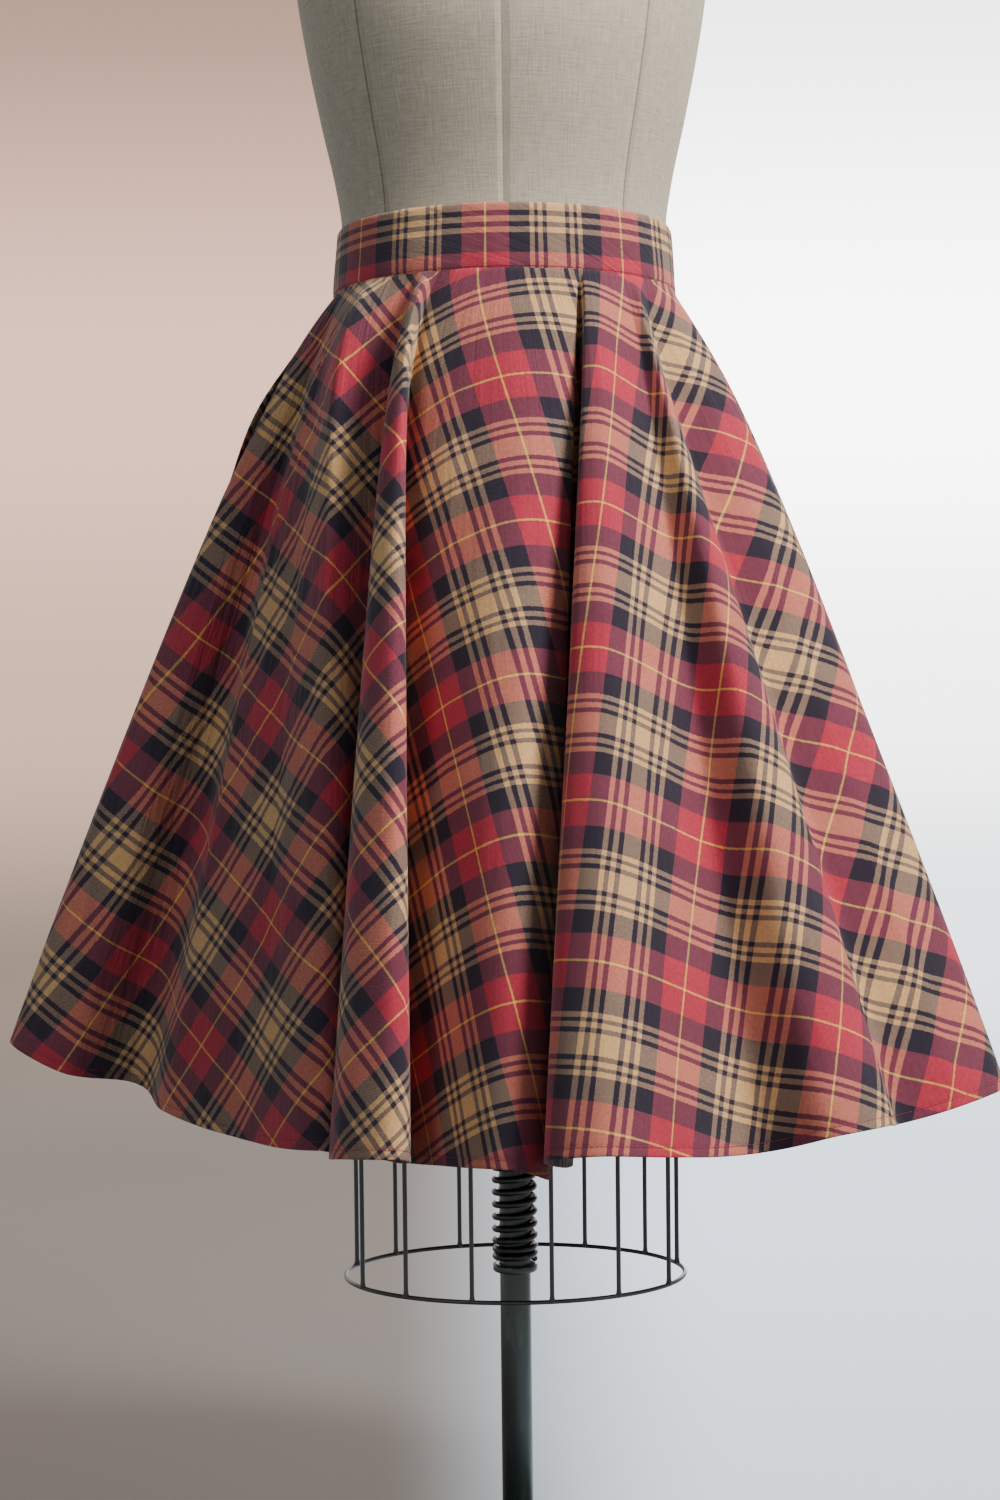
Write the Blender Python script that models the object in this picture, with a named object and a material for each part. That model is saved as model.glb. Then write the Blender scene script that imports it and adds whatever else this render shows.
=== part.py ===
# Circle skirt on a dress form with a wire cage, a spring-backed pole and a round plate.
#
# Frame: metres, +Z up, origin on the floor under the pole. -Y is the front of the skirt
# and +X is the right-hand side as seen from the front.
#
# The skirt is cut from two sectors of a ring, front and back, sewn to a straight band.
# Angles in the cut are in degrees from the centre front, positive to the viewer's left.
# A fold is a straight ruling of the cut: it starts at one angle on the waist arc and
# ends at another on the hem arc, and its hem end has a place in plan.

import math
from collections import namedtuple

import bmesh
import bpy
import numpy as np

# Garment: driving dimensions
SEAM_Z = 1.080
WAIST_HALF_WIDTH = 0.1355
WAIST_HALF_DEPTH = 0.0990
CENTRE_FRONT_SHIFT = 0.037
WAIST_RADIUS = 0.150
HEM_RADIUS = 0.815
SEAM_ANGLE = 76.0
CLOTH = 0.0018
SEAM_GAP = 0.0003

# Waistband and its closing
BAND_HEIGHT = 0.051
BAND_WALL = 0.0024
BAND_TAPER = 0.0038
BAND_LAP = 0.034
LAP_EASE = 1.2
LAP_RISE = 0.0029
BUTTON_DIAMETER = 0.018
BUTTON_HEIGHT = 0.0036

# Side pocket in the left seam, as distances below the waist seam
POCKET_TOP = 0.045
POCKET_END = 0.190
POCKET_GAPE = 0.0065
POCKET_PULL = 0.0020

# Grid of the skirt walls
FRONT_COLUMNS_PER_FOLD = 3
BACK_COLUMNS_PER_FOLD = 6
RINGS = 10
RING_CROWDING = 1.35
DROP_STEPS = 160
FOLD_ROUNDNESS = 0.85
NORMAL_STEP = 0.02

# Dress form
FORM_BOTTOM_Z = 0.860
FORM_SEGMENTS = 32
NECK_CAP_HEIGHT = 0.022
HUB_DIAMETER = 0.070
HUB_HEIGHT = 0.034

# Cage under the form
RING_Z = 0.3035
RING_HALF_WIDTH = 0.135
RING_HALF_DEPTH = 0.099
RING_WIRE = 0.0034
CAGE_WIRE = 0.0036
CAGE_INSET = 0.006
CAGE_WIRE_ANGLES = (
    61.5, 38.4, 14.3, -11.5, -35.3, -61.6, -104.0, -127.0, -154.0, -177.0, -200.0, -227.0, -252.0,
)

# Stand
POLE_DIAMETER = 0.0246
POLE_WALL = 0.0020
POLE_TOP_Z = 0.520
LIFT_DIAMETER = 0.0200
LIFT_BOTTOM_Z = 0.220
SPRING_OUTER = 0.0366
SPRING_WIRE = 0.0055
SPRING_PITCH = 0.0098
SPRING_BOTTOM_Z = 0.3110
SPRING_OPEN_TURNS = 9
SPRING_CLOSED_TURNS = 2
COLLAR_DIAMETER = 0.0355
COLLAR_HEIGHT = 0.0055
PLATE_DIAMETER = 0.420
PLATE_HEIGHT = 0.012
PLATE_HUB_DIAMETER = 0.060
PLATE_HUB_HEIGHT = 0.052

TOUCH_GAP = 0.0003

# Waist curve: an ellipse walked by its arc length


def ellipse_walk(half_width, half_depth, steps=1440):
    # Arc length from the front, towards the viewer's left, against the eccentric angle.
    turn = np.linspace(0.0, 2.0 * math.pi, steps + 1)
    x = -half_width * np.sin(turn)
    y = -half_depth * np.cos(turn)
    walked = np.concatenate([[0.0], np.cumsum(np.hypot(np.diff(x), np.diff(y)))])
    return turn, walked


WALK_TURN, WALK_LENGTH = ellipse_walk(WAIST_HALF_WIDTH, WAIST_HALF_DEPTH)
WAIST_LENGTH = WALK_LENGTH[-1]
FULL_ANGLE = math.degrees(WAIST_LENGTH / WAIST_RADIUS)


def waist_turn(cut_angle):
    # Eccentric angle on the waist ellipse of an angle in the cut.
    walked = np.radians(cut_angle) * WAIST_RADIUS - CENTRE_FRONT_SHIFT
    laps = np.floor(walked / WAIST_LENGTH)
    return np.interp(walked - laps * WAIST_LENGTH, WALK_LENGTH, WALK_TURN)


def waist_plan(cut_angle):
    turn = waist_turn(cut_angle)
    return np.stack([-WAIST_HALF_WIDTH * np.sin(turn), -WAIST_HALF_DEPTH * np.cos(turn)], -1)


# One row a fold, crest or hollow, round the hem from the left seam by the front.
# waist and hem are angles in the cut; x and y are where the hem end stands in plan;
# swell_x and swell_y carry the fold sideways at the hip, before it falls to its hem end.
Fold = namedtuple("Fold", "name waist hem x y swell_x swell_y", defaults=(0.0, 0.0))
FRONT_FOLDS = (
    Fold("left seam", SEAM_ANGLE, SEAM_ANGLE, -0.412, 0.055),
    Fold("left panel", 72.2, 72.2, -0.364, 0.024),
    Fold("left hollow", 69.0, 68.1, -0.310, 0.051, -0.002, 0.002),
    Fold("left crease", 65.5, 64.2, -0.277, -0.012, -0.008, -0.002),
    Fold("left flute", 60.5, 57.7, -0.204, -0.081, -0.018, -0.008),
    Fold("left flute edge", 54.4, 52.2, -0.139, -0.150, -0.029, -0.015),
    Fold("first hollow", 41.0, 47.8, -0.114, -0.094, -0.014, 0.005),
    Fold("narrow flute back", 38.8, 44.2, -0.132, -0.147, -0.015, -0.003),
    Fold("narrow flute left", 37.5, 41.0, -0.124, -0.206, -0.017, -0.011),
    Fold("narrow flute right", 35.7, 37.0, -0.079, -0.232, -0.021, -0.013),
    Fold("second hollow in", 34.4, 32.7, -0.087, -0.170, -0.020, -0.001),
    Fold("second hollow", 33.0, 28.6, -0.104, -0.126, -0.019, 0.002),
    Fold("centre flute left", 30.6, 25.0, -0.083, -0.152, -0.018, 0.000),
    Fold("centre flute rise", 20.6, 20.8, -0.052, -0.196, -0.016, -0.002),
    Fold("centre flute", 7.0, 15.4, -0.004, -0.243, -0.005, 0.000),
    Fold("centre flute edge", -6.3, 12.4, 0.024, -0.206, 0.004, 0.000),
    Fold("deep hollow left", -6.9, 7.8, 0.013, -0.136, 0.004, 0.000),
    Fold("deep hollow", -7.4, 5.4, 0.026, -0.108, 0.004, 0.000),
    Fold("deep hollow right", -7.9, 3.4, 0.039, -0.134, 0.005, 0.000),
    Fold("right flute back", -8.4, -0.4, 0.034, -0.192, 0.006, 0.000),
    Fold("right flute edge", -8.9, -5.3, 0.021, -0.262, 0.008, -0.002),
    Fold("right flute crest", -11.4, -9.0, 0.058, -0.285, 0.008, 0.000),
    Fold("right flute", -17.0, -13.8, 0.112, -0.256),
    Fold("soft dip", -22.0, -18.4, 0.168, -0.212, 0.000, 0.004),
    Fold("second crest", -26.0, -22.2, 0.218, -0.242, -0.008, -0.004),
    Fold("right crease", -28.6, -25.8, 0.262, -0.214, -0.020, -0.004),
    Fold("right step", -31.0, -28.8, 0.275, -0.172, -0.022, 0.006),
    Fold("right panel", -36.0, -32.2, 0.323, -0.158, -0.008, 0.000),
    Fold("right corner", -43.0, -36.4, 0.361, -0.122),
    Fold("right hollow", -49.0, -45.0, 0.266, -0.048),
    Fold("right side flute", -57.0, -56.0, 0.388, 0.040),
    Fold("right side hollow", -66.5, -66.6, 0.278, 0.112),
    Fold("right seam", -SEAM_ANGLE, -SEAM_ANGLE, 0.352, 0.196),
)
BACK_FOLDS = (
    Fold("right seam", -SEAM_ANGLE, -SEAM_ANGLE, 0.352, 0.196),
    Fold("back hollow 1", -87.0, -86.0, 0.222, 0.186),
    Fold("back flute 1", -98.0, -96.6, 0.254, 0.318),
    Fold("back hollow 2", -109.0, -107.9, 0.126, 0.240),
    Fold("back flute 2", -120.0, -118.1, 0.126, 0.372),
    Fold("back hollow 3", -131.0, -129.6, 0.032, 0.250),
    Fold("back flute 3", -142.0, -141.0, -0.036, 0.382),
    Fold("back hollow 4", -153.0, -152.5, -0.088, 0.250),
    Fold("back flute 4", -164.0, -163.6, -0.182, 0.358),
    Fold("back hollow 5", -174.0, -174.5, -0.190, 0.222),
    Fold("back flute 5", -184.5, -185.2, -0.312, 0.272),
    Fold("back hollow 6", -195.5, -196.6, -0.270, 0.132),
    Fold("left seam", SEAM_ANGLE - FULL_ANGLE, SEAM_ANGLE - FULL_ANGLE, -0.412, 0.055),
)

# Rings of the form from the bottom edge up: height, half width, half depth to the
# front and half depth to the back.
FormRing = namedtuple("FormRing", "z half_width front back")
FORM_RINGS = (
    FormRing(0.860, 0.150, 0.0860, 0.108),
    FormRing(0.900, 0.152, 0.0870, 0.112),
    FormRing(0.950, 0.150, 0.0880, 0.110),
    FormRing(1.000, 0.144, 0.0905, 0.102),
    FormRing(1.040, 0.139, 0.0940, 0.097),
    FormRing(1.080, 0.1325, 0.0955, 0.0955),
    FormRing(1.131, 0.1290, 0.0925, 0.0925),
    FormRing(1.170, 0.134, 0.0970, 0.094),
    FormRing(1.220, 0.145, 0.1090, 0.099),
    FormRing(1.270, 0.155, 0.1180, 0.104),
    FormRing(1.320, 0.163, 0.1130, 0.107),
    FormRing(1.370, 0.168, 0.0960, 0.103),
    FormRing(1.410, 0.160, 0.0800, 0.092),
    FormRing(1.440, 0.128, 0.0680, 0.076),
    FormRing(1.458, 0.088, 0.0600, 0.064),
    FormRing(1.472, 0.061, 0.0560, 0.058),
    FormRing(1.500, 0.055, 0.0530, 0.053),
)


def clear_scene():
    for old in list(bpy.data.objects):
        bpy.data.objects.remove(old, do_unlink=True)


def make_material(name, colour, roughness, metallic=0.0):
    material = bpy.data.materials.new(name)
    material.use_nodes = True
    shader = material.node_tree.nodes["Principled BSDF"]
    shader.inputs["Base Color"].default_value = (*colour, 1.0)
    shader.inputs["Roughness"].default_value = roughness
    shader.inputs["Metallic"].default_value = metallic
    return material


def make_object(name, points, faces, colour, roughness, metallic=0.0, parent=None):
    # A closed mesh with its faces turned outwards.
    mesh = bpy.data.meshes.new(name)
    mesh.from_pydata([tuple(point) for point in points], [], faces)
    work = bmesh.new()
    work.from_mesh(mesh)
    bmesh.ops.recalc_face_normals(work, faces=work.faces)
    work.to_mesh(mesh)
    work.free()
    mesh.shade_smooth()
    mesh.set_sharp_from_angle(angle=math.radians(40))
    mesh.materials.append(make_material(name, colour, roughness, metallic))
    made = bpy.data.objects.new(name, mesh)
    bpy.context.scene.collection.objects.link(made)
    made.parent = parent
    return made


# Skirt surface


def monotone_slopes(knots, values):
    # Slopes of a cubic that never overshoots: harmonic means of the steps on each side.
    step = np.diff(values) / np.diff(knots)
    slopes = np.empty(len(values))
    slopes[0], slopes[-1] = step[0], step[-1]
    before, after = step[:-1], step[1:]
    same = before * after > 0.0
    mean = np.zeros(len(before))
    mean[same] = 2.0 * before[same] * after[same] / (before[same] + after[same])
    slopes[1:-1] = mean
    return slopes


def hermite(knots, values, slopes, at):
    # Cubic through the values with the given slopes.
    index = np.clip(np.searchsorted(knots, at, side="right") - 1, 0, len(knots) - 2)
    width = knots[index + 1] - knots[index]
    share = (at - knots[index]) / width
    shape = (len(at),) + (1,) * (values.ndim - 1)
    share = share.reshape(shape)
    width = width.reshape(shape)
    start, end = values[index], values[index + 1]
    rise, fall = slopes[index] * width, slopes[index + 1] * width
    return (
        start * (1 + 2 * share) * (1 - share) ** 2
        + rise * share * (1 - share) ** 2
        + end * share ** 2 * (3 - 2 * share)
        + fall * share ** 2 * (share - 1)
    )


def fold_loop():
    # The whole hem as one closed list of folds, with its seam at the left.
    rows = FRONT_FOLDS + BACK_FOLDS[1:]
    waist = np.array([row.waist for row in rows])
    hem = np.array([row.hem for row in rows])
    plan = np.array([(row.x, row.y) for row in rows])
    swell = np.array([(row.swell_x, row.swell_y) for row in rows])
    return waist, hem, plan, swell


def fold_curves(at):
    # Waist angle, hem angle, hem place in plan and swell at positions along the fold
    # list. The plan curve turns at each fold along the line between its two neighbours.
    waist, hem, plan, swell = fold_loop()
    knots = np.arange(len(waist), dtype=float)
    chords = np.linalg.norm(np.diff(plan, axis=0), axis=1)
    after = np.concatenate([plan[1:], plan[1:2]])
    before = np.concatenate([plan[-2:-1], plan[:-1]])
    heading = after - before
    heading *= FOLD_ROUNDNESS / np.linalg.norm(heading, axis=1, keepdims=True)
    index = np.clip(np.floor(at).astype(int), 0, len(knots) - 2)
    share = (at - index)[:, None]
    reach = chords[index][:, None]
    pieces = (
        plan[index] * (1 + 2 * share) * (1 - share) ** 2
        + heading[index] * reach * share * (1 - share) ** 2
        + plan[index + 1] * share ** 2 * (3 - 2 * share)
        + heading[index + 1] * reach * share ** 2 * (share - 1)
    )
    waist_at = hermite(knots, waist, monotone_slopes(knots, waist), at)
    hem_at = hermite(knots, hem, monotone_slopes(knots, hem), at)
    swell_at = np.stack([np.interp(at, knots, column) for column in swell.T], -1)
    return waist_at, hem_at, pieces, swell_at


def flare(share):
    # Part of a fold's run from waist to hem that it has made, quick at first.
    return 0.85 * share + 0.158 * (share - share ** 2 / 2) + 0.071 * (1 - np.exp(-share / 0.12))


def hip_swell(share):
    # Part of a fold's swell: none at the waist, most at a fifth of the way, none at the hem.
    return (1 - np.exp(-share / 0.08)) * (1 - share)


def plan_at(top, hem_plan, swell, share):
    # Where each ruling stands in plan at each share of its length.
    along = flare(share)[None, :, None] * (hem_plan - top)[:, None, :]
    return top[:, None, :] + along + hip_swell(share)[None, :, None] * swell[:, None, :]


def skirt_grid(columns, shares):
    # Middle surface: one column a ruling, whose length in the cut is kept as it falls.
    waist_angle, hem_angle, hem_plan, swell = fold_curves(columns)
    top = waist_plan(waist_angle)
    apart = np.radians(waist_angle - hem_angle)
    length = np.sqrt(
        WAIST_RADIUS ** 2 + HEM_RADIUS ** 2 - 2 * WAIST_RADIUS * HEM_RADIUS * np.cos(apart)
    )
    edges = np.linspace(0.0, 1.0, DROP_STEPS + 1)
    sideways = np.linalg.norm(np.diff(plan_at(top, hem_plan, swell, edges), axis=1), axis=2)
    steep = np.sqrt((length[:, None] / DROP_STEPS) ** 2 - sideways ** 2)
    drop = np.concatenate([np.zeros((len(columns), 1)), np.cumsum(steep, axis=1)], 1)
    fallen = np.stack([np.interp(shares, edges, row) for row in drop])
    plan = plan_at(top, hem_plan, swell, shares)
    return np.concatenate([plan, (SEAM_Z - fallen)[:, :, None]], axis=2)


def loop_normals(columns, shares):
    # Outward normals of the closed skirt. At the waist they are level, so that the top
    # edge lies flat under the band.
    last = len(FRONT_FOLDS) + len(BACK_FOLDS) - 2
    grid = skirt_grid(columns, shares)
    across = skirt_grid((columns + NORMAL_STEP) % last, shares)
    across -= skirt_grid((columns - NORMAL_STEP) % last, shares)
    normals = np.cross(np.gradient(grid, axis=1), across)
    normals[:, 0, 2] = 0.0
    return normals / np.linalg.norm(normals, axis=2, keepdims=True)


def draw_back(grid, normals, gap):
    # The side edges move in along the cloth by half a seam gap, and the top edge moves down.
    moved = grid.copy()
    for edge, inner in ((0, 1), (-1, -2)):
        along = np.cross(normals[edge], np.gradient(grid[edge], axis=0))
        along /= np.linalg.norm(along, axis=1, keepdims=True)
        inward = np.sign((along[0] * (grid[inner, 0] - grid[edge, 0])).sum())
        moved[edge] += gap / 2 * inward * along
    moved[:, 0, 2] -= gap / 2
    return moved


def wall_faces(columns, rows):
    # Closed wall: outer sheet, inner sheet, top and bottom edges in quads. The side edges
    # are in triangles split one way, so that two panels meet face to face along a seam.
    index = np.arange(columns * rows).reshape(columns, rows)
    inner = index + columns * rows
    faces = []
    for sheet in (index, inner):
        quads = np.stack([sheet[:-1, :-1], sheet[:-1, 1:], sheet[1:, 1:], sheet[1:, :-1]], -1)
        faces += quads.reshape(-1, 4).tolist()
    for ring in (0, -1):
        out, back = index[:, ring], inner[:, ring]
        faces += np.stack([out[:-1], out[1:], back[1:], back[:-1]], -1).tolist()
    for column in (0, -1):
        out, back = index[column], inner[column]
        faces += np.stack([out[:-1], out[1:], back[:-1]], -1).tolist()
        faces += np.stack([out[1:], back[1:], back[:-1]], -1).tolist()
    return faces


def make_wall(name, grid, normals, thickness, colour, roughness, parent):
    half = normals * thickness / 2
    points = np.concatenate([(grid + half).reshape(-1, 3), (grid - half).reshape(-1, 3)])
    faces = wall_faces(grid.shape[0], grid.shape[1])
    return make_object(name, points, faces, colour, roughness, 0.0, parent)


def pocket_open(shares):
    # Nought at both ends of the pocket mouth and one at its middle.
    below = shares * (HEM_RADIUS - WAIST_RADIUS)
    inside = np.clip((below - POCKET_TOP) / (POCKET_END - POCKET_TOP), 0.0, 1.0)
    return np.sin(math.pi * inside) ** 2


def make_skirt(parent):
    shares = np.linspace(0.0, 1.0, RINGS) ** RING_CROWDING
    front_end = len(FRONT_FOLDS) - 1
    back_end = front_end + len(BACK_FOLDS) - 1
    front_count = front_end * FRONT_COLUMNS_PER_FOLD
    back_count = (back_end - front_end) * BACK_COLUMNS_PER_FOLD
    front_columns = np.linspace(0, front_end, front_count + 1)
    back_columns = np.linspace(front_end, back_end, back_count + 1)
    columns = np.concatenate([front_columns, back_columns[1:]])
    grid = skirt_grid(columns, shares)
    normals = loop_normals(columns, shares)

    front_normals = normals[: front_count + 1]
    back_normals = normals[front_count:]
    front = draw_back(grid[: front_count + 1], front_normals, SEAM_GAP)
    back = draw_back(grid[front_count:], back_normals, SEAM_GAP)

    # The pocket mouth: the front edge is drawn in and the back edge stands away from it.
    mouth = pocket_open(shares)[:, None]
    front[0] -= front_normals[0] * mouth * POCKET_PULL
    for column, part in ((-1, 1.0), (-2, 0.6), (-3, 0.25)):
        back[column] += back_normals[column] * mouth * POCKET_GAPE * part

    make_wall("skirt_front", front, front_normals, CLOTH, (0.36, 0.09, 0.09), 0.9, parent)
    make_wall("skirt_back", back, back_normals, CLOTH, (0.24, 0.08, 0.09), 0.9, parent)


# Waistband: a tapering ring whose end laps over its start at the centre back


def make_waistband(parent):
    steps = 72
    half_turn = math.pi
    lap_turn = BAND_LAP / WAIST_HALF_WIDTH
    turn = np.linspace(half_turn, -half_turn - lap_turn, steps + 1)
    lap_start = -half_turn + (1.0 + LAP_EASE) * lap_turn
    rise = np.clip((lap_start - turn) / (LAP_EASE * lap_turn), 0.0, 1.0)
    rise = LAP_RISE * rise ** 2 * (3 - 2 * rise)
    heights = np.linspace(SEAM_GAP / 2, BAND_HEIGHT, 3)
    share = heights / BAND_HEIGHT
    half_width = WAIST_HALF_WIDTH - BAND_TAPER * share
    half_depth = WAIST_HALF_DEPTH - BAND_TAPER * share
    x = -(half_width[None, :] + rise[:, None]) * np.sin(turn)[:, None]
    y = -(half_depth[None, :] + rise[:, None]) * np.cos(turn)[:, None]
    z = np.broadcast_to(SEAM_Z + heights, x.shape)
    grid = np.stack([x, y, z], -1)
    across = np.gradient(grid, axis=0)
    normals = np.cross(np.gradient(grid, axis=1), across)
    normals /= np.linalg.norm(normals, axis=2, keepdims=True)
    make_wall("waistband", grid, normals, BAND_WALL, (0.30, 0.10, 0.10), 0.9, parent)


def make_button(parent):
    # A flat round button on the lap, standing off along the band's own slope.
    sides = 28
    middle_z = SEAM_Z + BAND_HEIGHT / 2
    seat = WAIST_HALF_DEPTH - BAND_TAPER / 2 + LAP_RISE + BAND_WALL / 2 + TOUCH_GAP
    lean = math.atan2(BAND_TAPER, BAND_HEIGHT)
    radii = (0.80, 1.0, 1.0, 0.86)
    offsets = (0.0, 0.25, 0.75, 1.0)
    turn = np.arange(sides) / sides * 2 * math.pi
    rings = []
    for radius, offset in zip(radii, offsets):
        flat_x = radius * BUTTON_DIAMETER / 2 * np.cos(turn)
        flat_z = radius * BUTTON_DIAMETER / 2 * np.sin(turn)
        out = offset * BUTTON_HEIGHT
        y = seat + out * math.cos(lean) - flat_z * math.sin(lean)
        z = middle_z + flat_z * math.cos(lean) + out * math.sin(lean)
        rings.append(np.stack([flat_x, y, z], -1))
    make_lathed("band_button", rings, (0.10, 0.03, 0.03), 0.35, 0.0, parent)


def make_lathed(name, rings, colour, roughness, metallic, parent):
    # Closed body from a stack of equal rings, with flat ends.
    sides = len(rings[0])
    points = np.concatenate(rings)
    faces = []
    for level in range(len(rings) - 1):
        low, high = level * sides, (level + 1) * sides
        for side in range(sides):
            after = (side + 1) % sides
            faces.append([low + side, low + after, high + after, high + side])
    faces.append(list(range(sides))[::-1])
    faces.append([(len(rings) - 1) * sides + side for side in range(sides)])
    return make_object(name, points, faces, colour, roughness, metallic, parent)


def round_ring(radius, z, sides):
    turn = np.arange(sides) / sides * 2 * math.pi
    height = np.full(sides, z)
    return np.stack([radius * np.cos(turn), radius * np.sin(turn), height], -1)


def make_turned(name, profile, sides, colour, roughness, metallic, parent):
    # Turned solid from (radius, height) pairs, bottom to top.
    rings = [round_ring(radius, z, sides) for radius, z in profile]
    return make_lathed(name, rings, colour, roughness, metallic, parent)


def make_tube(name, outer, inner, bottom, top, sides, colour, roughness, metallic, parent):
    # Straight tube, open right through.
    loops = [
        round_ring(outer, bottom, sides),
        round_ring(outer, top, sides),
        round_ring(inner, top, sides),
        round_ring(inner, bottom, sides),
    ]
    points = np.concatenate(loops)
    faces = []
    for level in range(4):
        here, there = level * sides, (level + 1) % 4 * sides
        for side in range(sides):
            after = (side + 1) % sides
            faces.append([here + side, here + after, there + after, there + side])
    return make_object(name, points, faces, colour, roughness, metallic, parent)


def make_sweep(name, path, radius, sides, closed, colour, roughness, metallic, parent):
    # Round wire along a path of points; its ring frames turn with the path and stay upright.
    ahead = np.roll(path, -1, axis=0) - np.roll(path, 1, axis=0)
    if not closed:
        ahead[0] = path[1] - path[0]
        ahead[-1] = path[-1] - path[-2]
    ahead /= np.linalg.norm(ahead, axis=1, keepdims=True)
    outward_way = path * np.array([1.0, 1.0, 0.0])
    outward_way /= np.linalg.norm(outward_way, axis=1, keepdims=True)
    side_way = np.cross(ahead, outward_way)
    side_way /= np.linalg.norm(side_way, axis=1, keepdims=True)
    top_way = np.cross(side_way, ahead)
    turn = np.arange(sides) / sides * 2 * math.pi
    rings = (
        path[:, None, :]
        + radius * np.cos(turn)[None, :, None] * side_way[:, None, :]
        + radius * np.sin(turn)[None, :, None] * top_way[:, None, :]
    )
    if not closed:
        return make_lathed(name, list(rings), colour, roughness, metallic, parent)
    count = len(path)
    faces = []
    for step in range(count):
        here, there = step * sides, (step + 1) % count * sides
        for side in range(sides):
            after = (side + 1) % sides
            faces.append([here + side, here + after, there + after, there + side])
    return make_object(name, rings.reshape(-1, 3), faces, colour, roughness, metallic, parent)


# Dress form


def form_ring(row):
    turn = np.arange(FORM_SEGMENTS) / FORM_SEGMENTS * 2 * math.pi
    depth = np.where(np.cos(turn) > 0.0, row.front, row.back)
    x = -row.half_width * np.sin(turn)
    y = -depth * np.cos(turn)
    return np.stack([x, y, np.full(FORM_SEGMENTS, row.z)], -1)


def make_form(parent):
    linen = (0.62, 0.55, 0.44)
    rings = [form_ring(row) for row in FORM_RINGS]
    make_lathed("form_torso", rings, linen, 0.85, 0.0, parent)
    neck = FORM_RINGS[-1]
    cap_bottom = neck.z + TOUCH_GAP
    cap = (
        (neck.half_width - 0.001, cap_bottom),
        (neck.half_width + 0.002, cap_bottom + 0.004),
        (neck.half_width - 0.001, cap_bottom + 0.012),
        (neck.half_width - 0.016, cap_bottom + 0.019),
        (0.012, cap_bottom + NECK_CAP_HEIGHT),
    )
    make_turned("neck_cap", cap, 32, (0.30, 0.17, 0.08), 0.4, 0.0, parent)
    hub_top = FORM_BOTTOM_Z - TOUCH_GAP
    make_tube(
        "form_hub", HUB_DIAMETER / 2, LIFT_DIAMETER / 2 + TOUCH_GAP,
        hub_top - HUB_HEIGHT, hub_top, 32, (0.05, 0.05, 0.05), 0.45, 0.9, parent,
    )


def cage_point(turn, z):
    # The cage stands straight at its ring and spreads to the form's lower edge.
    foot = FORM_RINGS[0]
    rise = (z - RING_Z) / (FORM_BOTTOM_Z - RING_Z)
    spread = rise ** 2
    depth = foot.front if math.cos(turn) > 0.0 else foot.back
    half_width = RING_HALF_WIDTH + (foot.half_width - CAGE_INSET - RING_HALF_WIDTH) * spread
    half_depth = RING_HALF_DEPTH + (depth - CAGE_INSET - RING_HALF_DEPTH) * spread
    return (-half_width * math.sin(turn), -half_depth * math.cos(turn), z)


def make_cage(parent):
    black = (0.015, 0.015, 0.016)
    turn = np.linspace(0.0, 2 * math.pi, 48, endpoint=False)
    x = -RING_HALF_WIDTH * np.sin(turn)
    y = -RING_HALF_DEPTH * np.cos(turn)
    ring = np.stack([x, y, np.full(len(turn), RING_Z)], -1)
    make_sweep("cage_ring", ring, RING_WIRE / 2, 6, True, black, 0.4, 0.8, parent)
    foot = RING_Z + RING_WIRE / 2 + TOUCH_GAP
    head = FORM_BOTTOM_Z - TOUCH_GAP
    heights = np.linspace(foot, head, 7)
    for number, angle in enumerate(CAGE_WIRE_ANGLES, start=1):
        path = np.array([cage_point(math.radians(angle), z) for z in heights])
        name = "cage_wire_%02d" % number
        make_sweep(name, path, CAGE_WIRE / 2, 5, False, black, 0.4, 0.8, parent)


# Stand


def make_spring(parent):
    # Round wire on a helix; the turns at its foot lie close together.
    per_turn = 10
    closed_pitch = SPRING_WIRE + TOUCH_GAP
    turns = SPRING_CLOSED_TURNS + SPRING_OPEN_TURNS
    lap = np.arange(turns * per_turn + 1) / per_turn
    opened = np.clip(lap - SPRING_CLOSED_TURNS, 0.0, None)
    shut = lap - opened
    ease = opened ** 2 / (opened + 0.5)
    height = shut * closed_pitch + opened * closed_pitch + ease * (SPRING_PITCH - closed_pitch)
    radius = (SPRING_OUTER - SPRING_WIRE) / 2
    angle = lap * 2 * math.pi
    z = SPRING_BOTTOM_Z + SPRING_WIRE / 2 + height
    path = np.stack([radius * np.cos(angle), radius * np.sin(angle), z], -1)
    make_sweep("coil_spring", path, SPRING_WIRE / 2, 6, False, (0.02, 0.02, 0.02), 0.35, 0.9, parent)


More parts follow.
